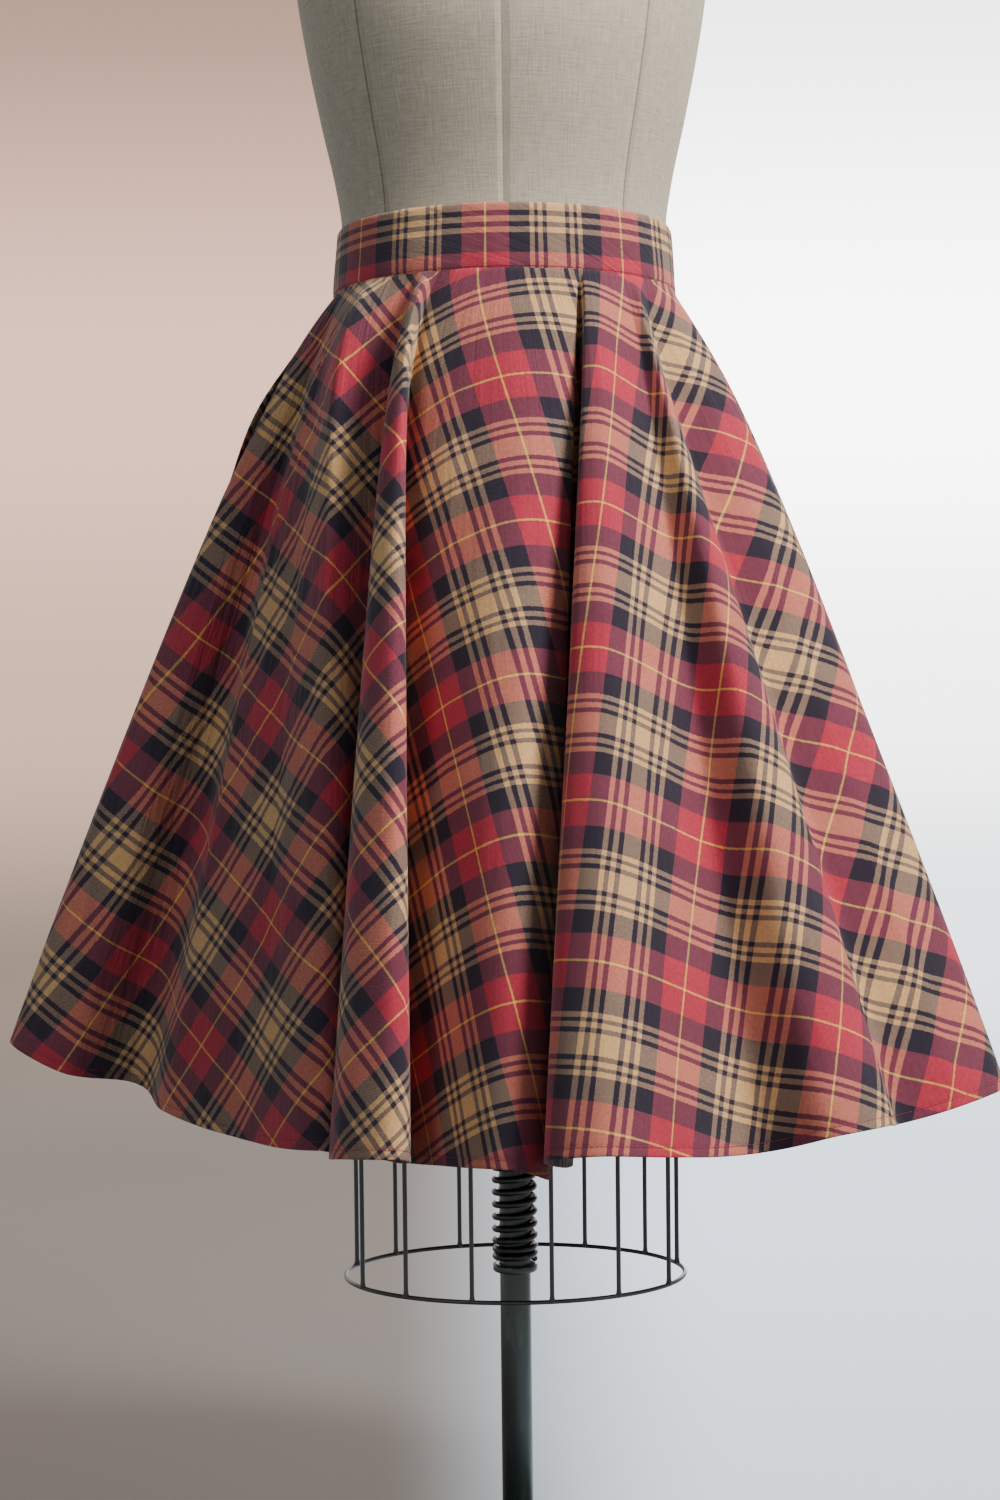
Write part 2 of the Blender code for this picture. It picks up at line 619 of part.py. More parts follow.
def make_stand(parent, lift_parent):
    green = (0.035, 0.055, 0.048)
    iron = (0.02, 0.022, 0.022)
    plate = (
        (PLATE_DIAMETER / 2 - 0.004, 0.0),
        (PLATE_DIAMETER / 2, 0.004),
        (PLATE_DIAMETER / 2, PLATE_HEIGHT - 0.005),
        (PLATE_DIAMETER / 2 - 0.006, PLATE_HEIGHT),
        (PLATE_HUB_DIAMETER / 2 + 0.030, PLATE_HEIGHT + 0.005),
        (PLATE_HUB_DIAMETER / 2 + 0.004, PLATE_HEIGHT + 0.016),
        (PLATE_HUB_DIAMETER / 2, PLATE_HEIGHT + 0.022),
        (PLATE_HUB_DIAMETER / 2, PLATE_HUB_HEIGHT - 0.003),
        (PLATE_HUB_DIAMETER / 2 - 0.003, PLATE_HUB_HEIGHT),
    )
    make_turned("base_plate", plate, 48, iron, 0.5, 0.9, parent)
    make_tube(
        "pole_tube", POLE_DIAMETER / 2, POLE_DIAMETER / 2 - POLE_WALL,
        PLATE_HUB_HEIGHT + TOUCH_GAP, POLE_TOP_Z, 28, green, 0.4, 0.7, parent,
    )
    make_tube(
        "spring_collar", COLLAR_DIAMETER / 2, POLE_DIAMETER / 2 + TOUCH_GAP,
        SPRING_BOTTOM_Z - TOUCH_GAP - COLLAR_HEIGHT, SPRING_BOTTOM_Z - TOUCH_GAP,
        28, green, 0.4, 0.7, parent,
    )
    make_spring(parent)
    lift = (
        (LIFT_DIAMETER / 2, LIFT_BOTTOM_Z),
        (LIFT_DIAMETER / 2, FORM_BOTTOM_Z - 2 * TOUCH_GAP),
    )
    make_turned("lift_tube", lift, 24, (0.45, 0.45, 0.44), 0.3, 1.0, lift_parent)


def make_empty(name, parent=None):
    marker = bpy.data.objects.new(name, None)
    bpy.context.scene.collection.objects.link(marker)
    marker.parent = parent
    return marker


def main():
    clear_scene()
    stand = make_empty("stand_frame")
    lift = make_empty("lift_frame", stand)
    form = make_empty("form_frame", lift)
    make_stand(stand, lift)
    make_form(form)
    make_cage(form)
    make_skirt(form)
    make_waistband(form)
    make_button(form)


main()
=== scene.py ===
import math

import bmesh
import bpy
import numpy as np
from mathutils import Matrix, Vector


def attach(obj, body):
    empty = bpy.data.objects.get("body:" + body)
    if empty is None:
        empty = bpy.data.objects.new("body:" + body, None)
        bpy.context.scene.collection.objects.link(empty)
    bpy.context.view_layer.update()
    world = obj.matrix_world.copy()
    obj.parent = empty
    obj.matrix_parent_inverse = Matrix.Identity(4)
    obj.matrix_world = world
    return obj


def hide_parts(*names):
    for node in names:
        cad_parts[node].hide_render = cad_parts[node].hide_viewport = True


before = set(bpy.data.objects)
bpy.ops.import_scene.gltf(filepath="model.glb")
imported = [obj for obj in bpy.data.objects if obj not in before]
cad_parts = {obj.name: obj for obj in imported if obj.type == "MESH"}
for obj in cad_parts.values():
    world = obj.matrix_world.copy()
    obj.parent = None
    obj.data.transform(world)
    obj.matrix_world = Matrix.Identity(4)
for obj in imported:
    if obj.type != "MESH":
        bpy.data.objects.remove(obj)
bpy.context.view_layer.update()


# Small helpers shared by every piece.


def smoothStep(value, low, high):
    # 0 below low, 1 above high and 3t^2 - 2t^3 between them.
    part = np.clip((value - low) / (high - low), 0.0, 1.0)
    return part * part * (3 - 2 * part)


def valueNoise(x, y, seed):
    # Random heights at whole-number points of a 256 by 256 table, eased between with 3t^2 - 2t^3.
    heights = np.random.default_rng(seed).uniform(-1.0, 1.0, (256, 256))
    ix, iy = np.floor(x).astype(int), np.floor(y).astype(int)
    fx, fy = x - ix, y - iy
    fx, fy = fx * fx * (3 - 2 * fx), fy * fy * (3 - 2 * fy)
    ix, iy, nx, ny = ix % 256, iy % 256, (ix + 1) % 256, (iy + 1) % 256
    low = heights[ix, iy] * (1 - fx) + heights[nx, iy] * fx
    high = heights[ix, ny] * (1 - fx) + heights[nx, ny] * fx
    return low * (1 - fy) + high * fy


def unit(vectors):
    # Each vector divided by its own length.
    return vectors / np.linalg.norm(vectors, axis=-1, keepdims=True)


def bell(value, middle, width):
    # e^(-((value - middle) / width)^2): 1 at the middle and next to nothing past twice the width.
    return np.exp(-(((value - middle) / width) ** 2))


def hermite(start, end, slopeIn, slopeOut, part):
    # Cubic between two values: the ends weigh (1 + 2t)(1 - t)^2 and t^2(3 - 2t), and the slopes
    # there weigh t(1 - t)^2 and t^2(t - 1).
    leaving = start * (1 + 2 * part) * (1 - part) ** 2 + slopeIn * part * (1 - part) ** 2
    return leaving + end * part ** 2 * (3 - 2 * part) + slopeOut * part ** 2 * (part - 1)


def walkedAlong(points):
    # Distance walked at each point of a path: the running sum of its steps, from 0.
    return np.concatenate([[0.0], np.cumsum(np.linalg.norm(np.diff(points, axis=0), axis=1))])


def roundedEdge(distance, reach, least):
    # Share of a wall's thickness near its edge: sqrt(1 - (1 - d / reach)^2), never under least.
    part = np.clip(distance / reach, 0.0, 1.0)
    return np.maximum(least, np.sqrt(1 - (1 - part) ** 2))


def gridQuads(indexGrid):
    # One quad for each cell of a grid of point numbers: down the column, then across.
    corners = [indexGrid[:-1, :-1], indexGrid[:-1, 1:], indexGrid[1:, 1:], indexGrid[1:, :-1]]
    return np.stack(corners, -1).reshape(-1, 4)


def ringIndex(rings, sides):
    # Point j of ring i is number i * sides + j, and each ring ends at the point it starts from.
    index = np.arange(rings * sides).reshape(rings, sides)
    return np.concatenate([index, index[:, :1]], axis=1)


def tubeFaces(copies, rings, sides):
    # Quads and end caps of equal tubes: those of the first, plus copy * rings * sides.
    index = ringIndex(rings, sides)
    shift = np.arange(copies)[:, None, None] * rings * sides
    faces = (gridQuads(index)[None] + shift).reshape(-1, 4).tolist()
    for end in (index[0, :-1], index[-1, :-1]):
        faces += (end[None] + shift[:, 0]).tolist()
    return faces


def linked(name, data):
    # A new object at the origin, in the scene.
    thing = bpy.data.objects.new(name, data)
    bpy.context.scene.collection.objects.link(thing)
    return thing


def buildPiece(name, points, faces, material, uvs=None, creaseDegrees=60.0):
    # Mesh object at the origin with outward faces; uvs holds one pair for each point.
    mesh = bpy.data.meshes.new(name)
    mesh.from_pydata(points.tolist(), [], faces if isinstance(faces, list) else faces.tolist())
    shape = bmesh.new()
    shape.from_mesh(mesh)
    bmesh.ops.recalc_face_normals(shape, faces=shape.faces)
    shape.to_mesh(mesh)
    shape.free()
    if uvs is not None:
        cornerPoints = np.empty(len(mesh.loops), dtype=np.int32)
        mesh.loops.foreach_get("vertex_index", cornerPoints)
        layer = mesh.uv_layers.new(name="UVMap")
        layer.data.foreach_set("uv", np.asarray(uvs, dtype=np.float32)[cornerPoints].ravel())
    mesh.shade_smooth()
    mesh.set_sharp_from_angle(angle=math.radians(creaseDegrees))
    mesh.materials.append(material)
    return linked(name, mesh)


def sweptBody(name, rings, material, closedPath=False, uvs=None, creaseDegrees=50.0):
    # rings[i, j] is point j of ring i; neighbours are joined by quads and open ends capped.
    index = ringIndex(*rings.shape[:2])
    if closedPath:
        index = np.concatenate([index, index[:1]], axis=0)
    faces = gridQuads(index).tolist()
    if not closedPath:
        faces += [index[0, :-1].tolist(), index[-1, :-1][::-1].tolist()]
    return buildPiece(name, rings.reshape(-1, 3), faces, material, uvs, creaseDegrees)


def turnedRings(profile, sides):
    # Each (radius, height) pair of the profile carried round the z axis.
    profile = np.asarray(profile)
    turn = np.arange(sides) / sides * 2 * math.pi
    x = profile[:, :1] * np.cos(turn)
    y = profile[:, :1] * np.sin(turn)
    return np.stack([x, y, np.broadcast_to(profile[:, 1:2], x.shape)], -1)


def roundedProfile(corners, radius, steps=4):
    # Corners of a profile replaced by arcs: each one is a quadratic curve over its own corner.
    corners = np.asarray(corners, dtype=float)
    out = [corners[:1]]
    part = np.linspace(0.0, 1.0, steps + 1)[:, None]
    for before, here, after in zip(corners[:-2], corners[1:-1], corners[2:]):
        reachIn = min(radius, 0.45 * np.linalg.norm(before - here))
        reachOut = min(radius, 0.45 * np.linalg.norm(after - here))
        start = here + unit(before - here) * reachIn
        end = here + unit(after - here) * reachOut
        out.append(start * (1 - part) ** 2 + 2 * here * part * (1 - part) + end * part ** 2)
    out.append(corners[-1:])
    return np.concatenate(out)


def wireRings(paths, radius, sides, outward=None):
    # Round section about a path: centre + radius * (cos(turn) across + sin(turn) up), where
    # across = ahead x outward and up = across x ahead. Outward is away from the z axis if not given.
    ahead = unit(np.gradient(paths, axis=-2))
    if outward is None:
        outward = unit(paths * np.array([1.0, 1.0, 0.0]))
    across = unit(np.cross(ahead, outward))
    up = np.cross(across, ahead)
    turn = np.arange(sides) / sides * 2 * math.pi
    radius = np.asarray(radius)[..., None, None]
    section = np.cos(turn)[:, None] * across[..., None, :] + np.sin(turn)[:, None] * up[..., None, :]
    return paths[..., None, :] + radius * section


# Node material helpers.


def newMaterial(name, colour, roughness, metallic=0.0, specular=0.5, more=None):
    # Principled surface of one colour; more holds its other sockets by name.
    material = bpy.data.materials.new(name)
    material.use_nodes = True
    shader = material.node_tree.nodes["Principled BSDF"]
    settings = {"Base Color": (*colour, 1.0), "Roughness": roughness, "Metallic": metallic,
                "Specular IOR Level": specular, **(more or {})}
    for socket, value in settings.items():
        shader.inputs[socket].default_value = value
    return material, material.node_tree, shader


def feed(tree, socket, value):
    # A socket as the value is linked, and a number or colour is set.
    if isinstance(value, bpy.types.NodeSocket):
        tree.links.new(value, socket)
    else:
        socket.default_value = value


def wireUp(tree, shader, **values):
    # Feeds the shader's colour, roughness and normal.
    sockets = {"colour": "Base Color", "roughness": "Roughness", "normal": "Normal"}
    for name, value in values.items():
        tree.links.new(value, shader.inputs[sockets[name]])


def maths(tree, operation, first, second=0.0, third=0.0):
    # One Math node: MULTIPLY_ADD is first * second + third.
    node = tree.nodes.new("ShaderNodeMath")
    node.operation = operation
    for socket, value in zip(node.inputs, (first, second, third)):
        feed(tree, socket, value)
    return node.outputs[0]


def noise(tree, where, scale, detail=2.0, roughness=0.5):
    # Fractal noise of about 0.3 to 0.7, with scale bumps a metre.
    node = tree.nodes.new("ShaderNodeTexNoise")
    feed(tree, node.inputs["Vector"], where)
    node.inputs["Scale"].default_value = scale
    node.inputs["Detail"].default_value = detail
    node.inputs["Roughness"].default_value = roughness
    return node.outputs["Fac"]


def stretched(tree, where, scale):
    # The place times a factor on each axis.
    node = tree.nodes.new("ShaderNodeVectorMath")
    node.operation = "MULTIPLY"
    feed(tree, node.inputs[0], where)
    node.inputs[1].default_value = scale
    return node.outputs[0]


def apart(tree, where):
    # The x, y and z of a place, as three sockets.
    node = tree.nodes.new("ShaderNodeSeparateXYZ")
    feed(tree, node.inputs[0], where)
    return node.outputs


def joined(tree, x, y, z=0.0):
    # The place (x, y, z).
    node = tree.nodes.new("ShaderNodeCombineXYZ")
    for socket, value in zip(node.inputs, (x, y, z)):
        feed(tree, socket, value)
    return node.outputs[0]


def mixed(tree, share, first, second, blend="MIX"):
    # first * (1 - share) + second * share, or first times second under MULTIPLY.
    node = tree.nodes.new("ShaderNodeMix")
    node.data_type = "RGBA"
    node.blend_type = blend
    feed(tree, node.inputs[0], share)
    feed(tree, node.inputs[6], first)
    feed(tree, node.inputs[7], second)
    return node.outputs[2]


def ramp(tree, value, stops, interpolation="LINEAR"):
    # Colour by the value: straight lines, eased curves or plain steps between the stops.
    node = tree.nodes.new("ShaderNodeValToRGB")
    feed(tree, node.inputs[0], value)
    node.color_ramp.interpolation = interpolation
    elements = node.color_ramp.elements
    while len(elements) < len(stops):
        elements.new(0.5)
    for element, (at, colour) in zip(elements, stops):
        element.position = at
        element.color = (*colour, 1.0)
    return node.outputs[0]


def eased(tree, value, low, high):
    # 0 below low, 1 above high and 3t^2 - 2t^3 between them.
    node = tree.nodes.new("ShaderNodeMapRange")
    node.interpolation_type = "SMOOTHSTEP"
    feed(tree, node.inputs["Value"], value)
    node.inputs["From Min"].default_value = low
    node.inputs["From Max"].default_value = high
    return node.outputs["Result"]


def bump(tree, height, distance, strength=1.0, normal=None):
    # Normal of the surface raised by height * distance, over an earlier bump where one is given.
    node = tree.nodes.new("ShaderNodeBump")
    node.inputs["Distance"].default_value = distance
    node.inputs["Strength"].default_value = strength
    feed(tree, node.inputs["Height"], height)
    if normal is not None:
        tree.links.new(normal, node.inputs["Normal"])
    return node.outputs[0]


def place(tree, kind="Object"):
    # Place on the piece in metres, or its UV map.
    return tree.nodes.new("ShaderNodeTexCoord").outputs[kind]


# Plaid cloth.

plaid = {
    # yarns as the screen shows them; two crossing yarns give the mean of these values
    "red": (0.715, 0.21, 0.28),
    "navy": (0.175, 0.145, 0.195),
    "tan": (0.87, 0.677, 0.455),
    "yellow": (0.99, 0.78, 0.32),
    # pale raised fibres where a light yarn crosses a dark one
    "haze": (0.52, 0.50, 0.58),
    "hazeShare": 0.24,
    # widths in parts of half a repeat, from the yellow yarn to the middle of the tan stripe
    "acrossRepeat": 0.121,
    "acrossStripes": (0.34, 0.59, 0.662, 0.73, 0.804, 0.872),
    "downRepeat": 0.109,
    "downStripes": (0.33, 0.62, 0.684, 0.736, 0.804, 0.864),
    "downStart": 0.2445,
    "yellowWidth": 0.0015,
    # share by which the yellow yarn floats over the yarn it crosses
    "yellowFloat": 0.45,
    # how far a stripe's edge wavers, the pitch of the twill's ribs, and what ribs and heather change
    "waver": 0.0016,
    "twill": 0.0014,
    "ribShare": 0.10,
    "heatherShare": 1.2,
    # changes of depth over the cloth: slow ones and those of the nap
    "slowShade": 0.14,
    "napShade": 0.34,
    # bumps a metre of each noise: on the stripes' edges across and down, heather, slow shade and nap
    "edgeBumps": (900.0, 700.0),
    "heatherBumps": 1150.0,
    "slowBumps": 24.0,
    "napBumps": 520.0,
    # heights of the relief: fine creases, nap and ribs
    "creaseHeight": 0.0080,
    "napHeight": 0.00035,
    "ribHeight": 0.00006,
    "gamma": 2.2,
    "finish": {"Sheen Weight": 0.28, "Sheen Roughness": 0.45, "Sheen Tint": (1.0, 0.93, 0.88, 1.0)},
}


def stripeStops(edges):
    # Pairs of a stripe's start and colour, from the yellow yarn to the middle of the tan stripe.
    order = ("red", "navy", "tan", "navy", "tan", "navy", "tan")
    return [(edge, plaid[colour]) for edge, colour in zip((0.0, *edges), order)]


def stripes(tree, metres, rough, repeat, edges, start):
    # Stripes of one set of yarns and a mask of its yellow yarn. The place in half a repeat is
    # 2 * pingpong((metres + waver) / repeat + start, 1/2): 0 at the yellow yarn, 1 in mid tan.
    waver = maths(tree, "MULTIPLY_ADD", rough, plaid["waver"], -plaid["waver"] / 2)
    turn = maths(tree, "MULTIPLY_ADD", maths(tree, "ADD", metres, waver), 1 / repeat, start)
    part = maths(tree, "MULTIPLY", maths(tree, "PINGPONG", turn, 0.5), 2.0)
    yarns = ramp(tree, part, stripeStops(edges), "CONSTANT")
    onYellow = maths(tree, "LESS_THAN", part, plaid["yellowWidth"] / repeat)
    return mixed(tree, onYellow, yarns, (*plaid["yellow"], 1.0)), onYellow


def makePlaid():
    # Warp and weft mixed as the screen shows them, then raised to the gamma. UV is the place in
    # the flat cut, in metres, from the centre of the circle.
    material, tree, shader = newMaterial("plaidTwill", (0.3, 0.1, 0.1), 0.86, 0.0, 0.22, plaid["finish"])
    flat = place(tree, "UV")
    x, y = apart(tree, flat)[:2]
    roughX, roughY = [noise(tree, flat, bumps) for bumps in plaid["edgeBumps"]]
    start = -plaid["downStart"] / plaid["downRepeat"]
    # the warp starts half a repeat on, so that a tan stripe runs down the middle of each panel
    warp, onWarp = stripes(tree, x, roughX, plaid["acrossRepeat"], plaid["acrossStripes"], 0.5)
    weft, onWeft = stripes(tree, y, roughY, plaid["downRepeat"], plaid["downStripes"], start)

    # the twill's slanting ribs show more of one yarn, then of the other
    slant = maths(tree, "MULTIPLY", maths(tree, "ADD", x, y), 2 * math.pi / plaid["twill"])
    rib = maths(tree, "SINE", slant)
    heather = noise(tree, flat, plaid["heatherBumps"], 3.0, 0.7)
    share = maths(tree, "MULTIPLY_ADD", rib, plaid["ribShare"], 0.5 - plaid["heatherShare"] / 2)
    cloth = mixed(tree, maths(tree, "MULTIPLY_ADD", heather, plaid["heatherShare"], share), warp, weft)
    floating = maths(tree, "MULTIPLY", maths(tree, "MAXIMUM", onWarp, onWeft), plaid["yellowFloat"])
    cloth = mixed(tree, floating, cloth, (*plaid["yellow"], 1.0))
    reds = []
    for yarn in (warp, weft):
        parts = tree.nodes.new("ShaderNodeSeparateColor")
        tree.links.new(yarn, parts.inputs[0])
        reds.append(parts.outputs["Red"])
    crossing = maths(tree, "ABSOLUTE", maths(tree, "SUBTRACT", *reds))
    crossing = maths(tree, "MULTIPLY", crossing, plaid["hazeShare"])
    cloth = mixed(tree, crossing, cloth, (*plaid["haze"], 1.0))

    # brushed nap: pale flecks and a slow change of depth
    slow = noise(tree, flat, plaid["slowBumps"], 3.0, 0.6)
    nap = noise(tree, stretched(tree, flat, (1.0, 0.6, 1.0)), plaid["napBumps"], 3.0, 0.65)
    start = 1 - plaid["slowShade"] / 2 - plaid["napShade"] / 2
    depth = maths(tree, "MULTIPLY_ADD", slow, plaid["slowShade"], start)
    depth = maths(tree, "MULTIPLY_ADD", nap, plaid["napShade"], depth)
    cloth = mixed(tree, 1.0, cloth, joined(tree, depth, depth, depth), "MULTIPLY")
    gamma = tree.nodes.new("ShaderNodeGamma")
    tree.links.new(cloth, gamma.inputs[0])
    gamma.inputs[1].default_value = plaid["gamma"]

    # relief: fine creases that run down the cut, most at the sides, then nap, then ribs
    angle = maths(tree, "ARCTAN2", x, y)
    radius = tree.nodes.new("ShaderNodeVectorMath")
    radius.operation = "LENGTH"
    tree.links.new(flat, radius.inputs[0])
    polar = joined(tree, maths(tree, "MULTIPLY", angle, 30.0), radius.outputs["Value"])
    creases = noise(tree, stretched(tree, polar, (1.0, 5.0, 1.0)), 1.6, 3.0, 0.55)
    sideTurn = 1.3  # radians from the middle of a panel to its seam
    atSide = maths(tree, "SMOOTH_MIN", maths(tree, "ABSOLUTE", angle), sideTurn, 0.1)
    atSide = maths(tree, "POWER", maths(tree, "DIVIDE", atSide, sideTurn), 5.0)
    creases = maths(tree, "MULTIPLY", creases, maths(tree, "MULTIPLY_ADD", atSide, 0.85, 0.15))
    relief = bump(tree, creases, plaid["creaseHeight"])
    relief = bump(tree, nap, plaid["napHeight"], 0.8, relief)
    relief = bump(tree, rib, plaid["ribHeight"], 0.7, relief)
    wireUp(tree, shader, colour=gamma.outputs[0], normal=relief)
    return material


def makeThread(name, colour):
    # Plies as noise: from 0.6 of the colour in the gaps (painted shade) to 1.5 of it on the crowns (painted
    # highlight).
    material, tree, shader = newMaterial(name, colour, 0.6, 0.0, 0.3)
    ply = noise(tree, place(tree), 2600.0, 2.0)
    # painted shade in the ply gaps and painted highlight on their crowns
    paintedPlyShade = [(0.3, [part * 0.6 for part in colour]), (0.7, [min(1.0, part * 1.5) for part in colour])]
    wireUp(tree, shader, colour=ramp(tree, ply, paintedPlyShade), normal=bump(tree, ply, 0.0001))
    return material


# The skirt's surface: the same cut and folds as the solids.

skirt = {
    "seamZ": 1.080,
    "waistHalfWidth": 0.1355,
    "waistHalfDepth": 0.0990,
    "centreShift": 0.037,
    "waistRadius": 0.150,
    "hemRadius": 0.815,
    "seamAngle": 76.0,
    "foldRoundness": 0.85,
    "seamGap": 0.0003,
    "clothThickness": 0.0013,
    "hemThickness": 0.0013,
    "hemDepth": 0.0085,
    "stitchLine": 0.0066,
    "edgeRound": 0.0012,
    # how far the seam allowance goes up under the band, and how deep a panel's edge sinks at a seam
    "underBand": 0.0022,
    "seamValley": 0.0005,
    # the front waist is cut lower by this, for the lie of the plaid
    "frontScoop": 0.012,
    "stitchGroove": 0.00035,
    # half widths of the stitch groove and of the valley at a seam, and how far up the hem puckers
    "grooveWidth": 0.0016,
    "valleyWidth": 0.0016,
    "puckerReach": 0.012,
    # where the narrow creases of the side panels lie and how far they spread, in degrees at the hem
    "creaseAngle": 62.5,
    "creaseSpread": 8.5,
    # the placket's lapped edge at the centre back: where it rises and drops, either side of the back
    "placketDepth": 0.180,
    "placketStep": 0.0007,
    "placketEdges": (-0.0115, -0.0100, 0.0005, 0.0020),
    # the pocket's front edge is pulled in and its back edge gapes, by shares at degrees from the seam
    "pocketTop": 0.045,
    "pocketEnd": 0.190,
    "pocketGape": 0.0065,
    "gapeAngles": (0.0, 1.9, 3.8, 5.7),
    "gapeShares": (1.0, 0.6, 0.25, 0.0),
    "pocketPull": 0.0020,
    "pullAngle": 1.33,
    "frontColumns": 296,
    "backColumns": 250,
    "middleRows": 118,
    "fallSteps": 240,
}
# soft unevenness of the cloth: height, size across, size down and seed of the noise
softness = {
    "slowWave": (0.0016, 0.055, 0.33, 11),
    "fineWave": (0.0007, 0.024, 0.20, 12),
    "sideCrease": (0.0015, 0.013, 0.30, 13),
    "thinCrease": (0.00075, 0.007, 0.22, 15),
    "pucker": (0.00035, 0.0085, 0.02, 14),
    "bandWave": (0.0005, 0.045, 0.05, 21),
    "bandCrease": (0.0003, 0.012, 0.03, 22),
}
stitches = {
    "hem": {"stitch": 0.0027, "space": 0.0007, "thread": 0.00030},
    "band": {"stitch": 0.0024, "space": 0.0006, "thread": 0.00026},
}
# angle in the cut at the waist and at the hem, hem's x and y, swell of the hip in x and y
foldTable = """
seam_left            76.0   76.0  -0.412  0.055   0.000  0.000
panel_left           72.2   72.2  -0.364  0.024   0.000  0.000
hollow_left          69.0   68.1  -0.310  0.051  -0.002  0.002
crease_left          65.5   64.2  -0.277 -0.012  -0.008 -0.002
flute_left           60.5   57.7  -0.204 -0.081  -0.018 -0.008
flute_left_edge      54.4   52.2  -0.139 -0.150  -0.029 -0.015
hollow_one           41.0   47.8  -0.114 -0.094  -0.014  0.005
narrow_back          38.8   44.2  -0.132 -0.147  -0.015 -0.003
narrow_left          37.5   41.0  -0.124 -0.206  -0.017 -0.011
narrow_right         35.7   37.0  -0.079 -0.232  -0.021 -0.013
hollow_two_in        34.4   32.7  -0.087 -0.170  -0.020 -0.001
hollow_two           33.0   28.6  -0.104 -0.126  -0.019  0.002
centre_left          30.6   25.0  -0.083 -0.152  -0.018  0.000
centre_rise          20.6   20.8  -0.052 -0.196  -0.016 -0.002
centre_flute          7.0   15.4  -0.004 -0.243  -0.005  0.000
centre_edge          -6.3   12.4   0.024 -0.206   0.004  0.000
deep_left            -6.9    7.8   0.013 -0.136   0.004  0.000
deep_hollow          -7.4    5.4   0.026 -0.108   0.004  0.000
deep_right           -7.9    3.4   0.039 -0.134   0.005  0.000
right_back           -8.4   -0.4   0.034 -0.192   0.006  0.000
right_edge           -8.9   -5.3   0.021 -0.262   0.008 -0.002
right_crest         -11.4   -9.0   0.058 -0.285   0.008  0.000
right_flute         -17.0  -13.8   0.112 -0.256   0.000  0.000
soft_dip            -22.0  -18.4   0.168 -0.212   0.000  0.004
second_crest        -26.0  -22.2   0.218 -0.242  -0.008 -0.004
crease_right        -28.6  -25.8   0.262 -0.214  -0.020 -0.004
step_right          -31.0  -28.8   0.275 -0.172  -0.022  0.006
panel_right         -36.0  -32.2   0.323 -0.158  -0.008  0.000
corner_right        -43.0  -36.4   0.361 -0.122   0.000  0.000
hollow_right        -49.0  -45.0   0.266 -0.048   0.000  0.000
side_flute          -57.0  -56.0   0.388  0.040   0.000  0.000
side_hollow         -66.5  -66.6   0.278  0.112   0.000  0.000
seam_right          -76.0  -76.0   0.352  0.196   0.000  0.000
back_hollow_1       -87.0  -86.0   0.222  0.186   0.000  0.000
back_flute_1        -98.0  -96.6   0.254  0.318   0.000  0.000
back_hollow_2      -109.0 -107.9   0.126  0.240   0.000  0.000
back_flute_2       -120.0 -118.1   0.126  0.372   0.000  0.000
back_hollow_3      -131.0 -129.6   0.032  0.250   0.000  0.000
back_flute_3       -142.0 -141.0  -0.036  0.382   0.000  0.000
back_hollow_4      -153.0 -152.5  -0.088  0.250   0.000  0.000
back_flute_4       -164.0 -163.6  -0.182  0.358   0.000  0.000
back_hollow_5      -174.0 -174.5  -0.190  0.222   0.000  0.000
back_flute_5       -184.5 -185.2  -0.312  0.272   0.000  0.000
back_hollow_6      -195.5 -196.6  -0.270  0.132   0.000  0.000
"""
foldRows = [line.split() for line in foldTable.strip().splitlines()]
folds = np.array([[float(word) for word in row[1:]] for row in foldRows])


def ellipseWalk(halfWidth, halfDepth):
    # Arc length from the front towards the viewer's left against the eccentric angle.
    turn = np.linspace(0.0, 2 * math.pi, 1441)
    steps = np.hypot(np.diff(-halfWidth * np.sin(turn)), np.diff(-halfDepth * np.cos(turn)))
    return turn, np.concatenate([[0.0], np.cumsum(steps)])


walkTurn, walkLength = ellipseWalk(skirt["waistHalfWidth"], skirt["waistHalfDepth"])
fullAngle = math.degrees(walkLength[-1] / skirt["waistRadius"])
lastFold = [skirt["seamAngle"] - fullAngle, skirt["seamAngle"] - fullAngle, *folds[0, 2:]]
folds = np.concatenate([folds, [lastFold]])
seamIndex = [row[0] for row in foldRows].index("seam_right")
fallLength = skirt["hemRadius"] - skirt["waistRadius"]


def waistPlan(cutAngle):
    # Angle in the cut to arc length on the waist ellipse, then to a point on the ellipse.
    walked = np.radians(cutAngle) * skirt["waistRadius"] - skirt["centreShift"]
    walked = walked - np.floor(walked / walkLength[-1]) * walkLength[-1]
    turn = np.interp(walked, walkLength, walkTurn)
    return np.stack([-skirt["waistHalfWidth"] * np.sin(turn), -skirt["waistHalfDepth"] * np.cos(turn)], -1)


def easedAngles(values, at):
    # Cubic through whole-number knots whose slopes are harmonic means of the steps beside them.
    step = np.diff(values)
    slopes = np.concatenate([step[:1], np.zeros(len(step) - 1), step[-1:]])
    same = step[:-1] * step[1:] > 0
    slopes[1:-1][same] = 2 * (step[:-1] * step[1:])[same] / (step[:-1] + step[1:])[same]
    index = np.clip(np.floor(at).astype(int), 0, len(values) - 2)
    return hermite(values[index], values[index + 1], slopes[index], slopes[index + 1], at - index)


